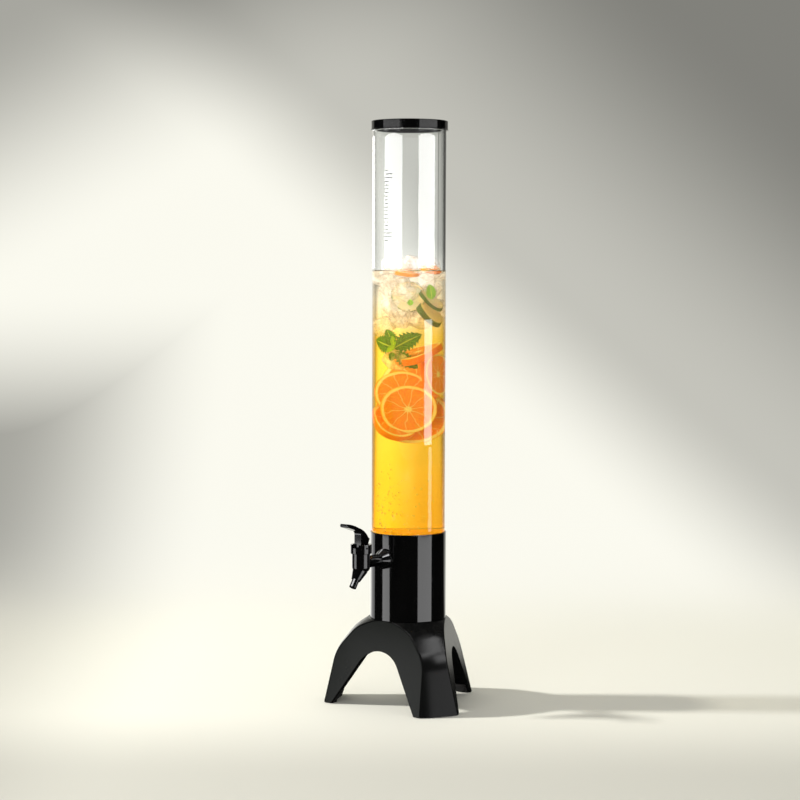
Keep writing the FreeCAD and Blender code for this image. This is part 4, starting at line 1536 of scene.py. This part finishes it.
@dataclass(frozen=True)
class Lamp:
    """An area lamp beside the show side that looks at the tower.

    Its turn is in degrees to the right of the show side, its distance, its lower and upper edge
    and its width in metres, and its radiance says how bright its face is. A lamp that only
    mirrors shows in reflections without lighting anything. The others only light.
    """

    name: str
    turn: float
    distance: float
    low: float
    high: float
    width: float
    radiance: float
    colour: Colour = WHITE
    mirror_only: bool = True

    def build(self) -> None:
        """Stands the lamp in the scene."""
        height = self.high - self.low
        data = bpy.data.lights.new(self.name, "AREA")
        data.shape = "RECTANGLE"
        data.size, data.size_y = self.width, height
        data.color = self.colour
        data.energy = self.radiance * math.pi * self.width * height
        made = bpy.data.objects.new(self.name, data)
        angle = SHOW_SIDE + math.radians(self.turn)
        made.location = (math.sin(angle) * self.distance, -math.cos(angle) * self.distance,
                         (self.low + self.high) / 2)
        made.rotation_euler = (math.radians(90), 0.0, angle)
        made.visible_camera = made.visible_transmission = False
        made.visible_glossy = self.mirror_only
        made.visible_diffuse = not self.mirror_only
        bpy.context.scene.collection.objects.link(made)


@dataclass
class Studio:
    """Pale floor and backdrop, soft lamps, reflection strips and the camera.

    Distances and heights are in metres, angles in degrees. The strips are given by their lower
    and upper edge, by where they start and end beside the show side, and by their radiance.
    """

    distance: float = 2.534
    height: float = 0.5238
    aim: float = 38.33
    tilt: float = 3.4
    level: float = 0.18
    lens: float = 93.15
    sensor: float = 36.0
    strip_reach: float = 0.42
    strips: tuple[Range, ...] = (
        (0.003, 0.163, -80, -55, 2.9), (0.003, 0.163, 28, 72, 2.6),
        (0.003, 0.163, -162, -118, 0.9), (0.168, 0.287, 62, 74, 4.0),
        (0.29, 0.465, 47, 74, 9.0), (0.512, 0.532, 28, 80, 5.0),
        (0.536, 0.722, -162, -131, 3.0), (0.536, 0.722, -80, -21, 11.0),
        (0.536, 0.722, 27, 83, 11.0), (0.727, 1.1, -81, -28, 1.1),
        (0.727, 1.1, 28, 87, 1.2))
    lamps: tuple[Lamp, ...] = (
        Lamp("key_left", -91.0, 3.0, 2.04, 2.32, 0.28, 620.0, (1.0, 0.98, 0.92), False),
        Lamp("front_soft", -15.0, 3.2, 0.15, 1.1, 2.6, 7.0, (1.0, 0.99, 0.97), False))
    surround: Colour = (1.0, 0.99, 0.97)
    surround_light: Range = (0.32, 0.85)
    surround_in_mirrors: float = 0.02
    sweep_half: float = 6.0
    sweep_front: float = -3.4
    sweep_back: float = 0.8
    sweep_bend: float = 1.1
    sweep_wall: float = 3.2

    def build(self) -> None:
        """Builds the studio."""
        self.build_world()
        self.build_sweep()
        self.build_lamps()
        self.build_camera()

    def build_world(self) -> None:
        """A plain pale surround, darker in reflections than behind the tower."""
        world = bpy.data.worlds.new("surround")
        bpy.context.scene.world = world
        world.use_nodes = True
        graph = Graph(world.node_tree)
        seen = graph.largest(graph.ray(Ray.CAMERA), graph.ray(Ray.THROUGH))
        pale = graph.fill(graph.add("Background"), Color=self.surround,
                          Strength=graph.spread(seen, 0.0, 1.0, *self.surround_light))
        dark = graph.fill(graph.add("Background"), Color=WHITE,
                          Strength=self.surround_in_mirrors)
        mixed = graph.mixed(graph.mirrored(), pale, dark)
        graph.fill(graph.add("OutputWorld"), Surface=mixed.outputs[0])

    def build_sweep(self) -> None:
        """A floor that curves up into a wall behind the tower."""
        shape = bmesh.new()
        corners = [shape.verts.new((across, self.sweep_front, 0.0))
                   for across in (-self.sweep_half, self.sweep_half)]
        floor = bmesh.ops.extrude_edge_only(shape, edges=[shape.edges.new(corners)])
        ends = parts(floor, bmesh.types.BMVert)
        bmesh.ops.translate(shape, verts=ends, vec=(0, self.sweep_back - self.sweep_front, 0))
        last = [edge for edge in parts(floor, bmesh.types.BMEdge)
                if all(vert in ends for vert in edge.verts)]
        bmesh.ops.spin(shape, geom=last + ends, cent=(0, self.sweep_back, self.sweep_bend),
                       axis=(1, 0, 0), angle=math.radians(90), steps=24)
        top = [edge for edge in shape.edges
               if all(abs(vert.co.z - self.sweep_bend) < 1e-3 for vert in edge.verts)]
        wall = bmesh.ops.extrude_edge_only(shape, edges=top)
        bmesh.ops.translate(shape, verts=parts(wall, bmesh.types.BMVert),
                            vec=(0, 0, self.sweep_wall))
        shape.normal_update()
        shape.faces.ensure_lookup_table()
        if shape.faces[0].normal.z < 0:
            bmesh.ops.reverse_faces(shape, faces=shape.faces)
        shape.transform(Matrix.Rotation(math.radians(self.aim), 4, "Z"))
        make_object("studio_sweep", shape, Paper().build())

    def build_lamps(self) -> None:
        """Strips that only reflections see, and two large soft lamps for the light."""
        for number, (low, high, start, end, radiance) in enumerate(self.strips, start=1):
            width = 2 * self.strip_reach * math.tan(math.radians(end - start) / 2)
            Lamp(f"strip_{number}", (start + end) / 2, self.strip_reach, low, high, width,
                 radiance).build()
        for lamp in self.lamps:
            lamp.build()

    def build_camera(self) -> None:
        """Sets the camera."""
        data = bpy.data.cameras.new("camera")
        data.sensor_width, data.lens = self.sensor, self.lens
        data.clip_start = 0.02
        made = bpy.data.objects.new("camera", data)
        bpy.context.scene.collection.objects.link(made)
        made.location = (math.sin(SHOW_SIDE) * self.distance,
                         -math.cos(SHOW_SIDE) * self.distance, self.height)
        turn = (Matrix.Rotation(math.radians(self.aim), 4, "Z")
                @ Matrix.Rotation(math.radians(90 - self.tilt), 4, "X")
                @ Matrix.Rotation(math.radians(self.level), 4, "Z"))
        made.rotation_euler = turn.to_euler()
        bpy.context.scene.camera = made


def main() -> None:
    """Builds the tower's finishes, its contents and the studio."""
    logging.basicConfig(level=logging.INFO, format="%(name)s: %(message)s")
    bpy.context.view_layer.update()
    bpy.context.scene.view_settings.view_transform = "Standard"
    Hardware().dress()
    Contents().build()
    MeasuringScale().build(PrintInk().build())
    Studio().build()


if __name__ == "__main__":
    main()
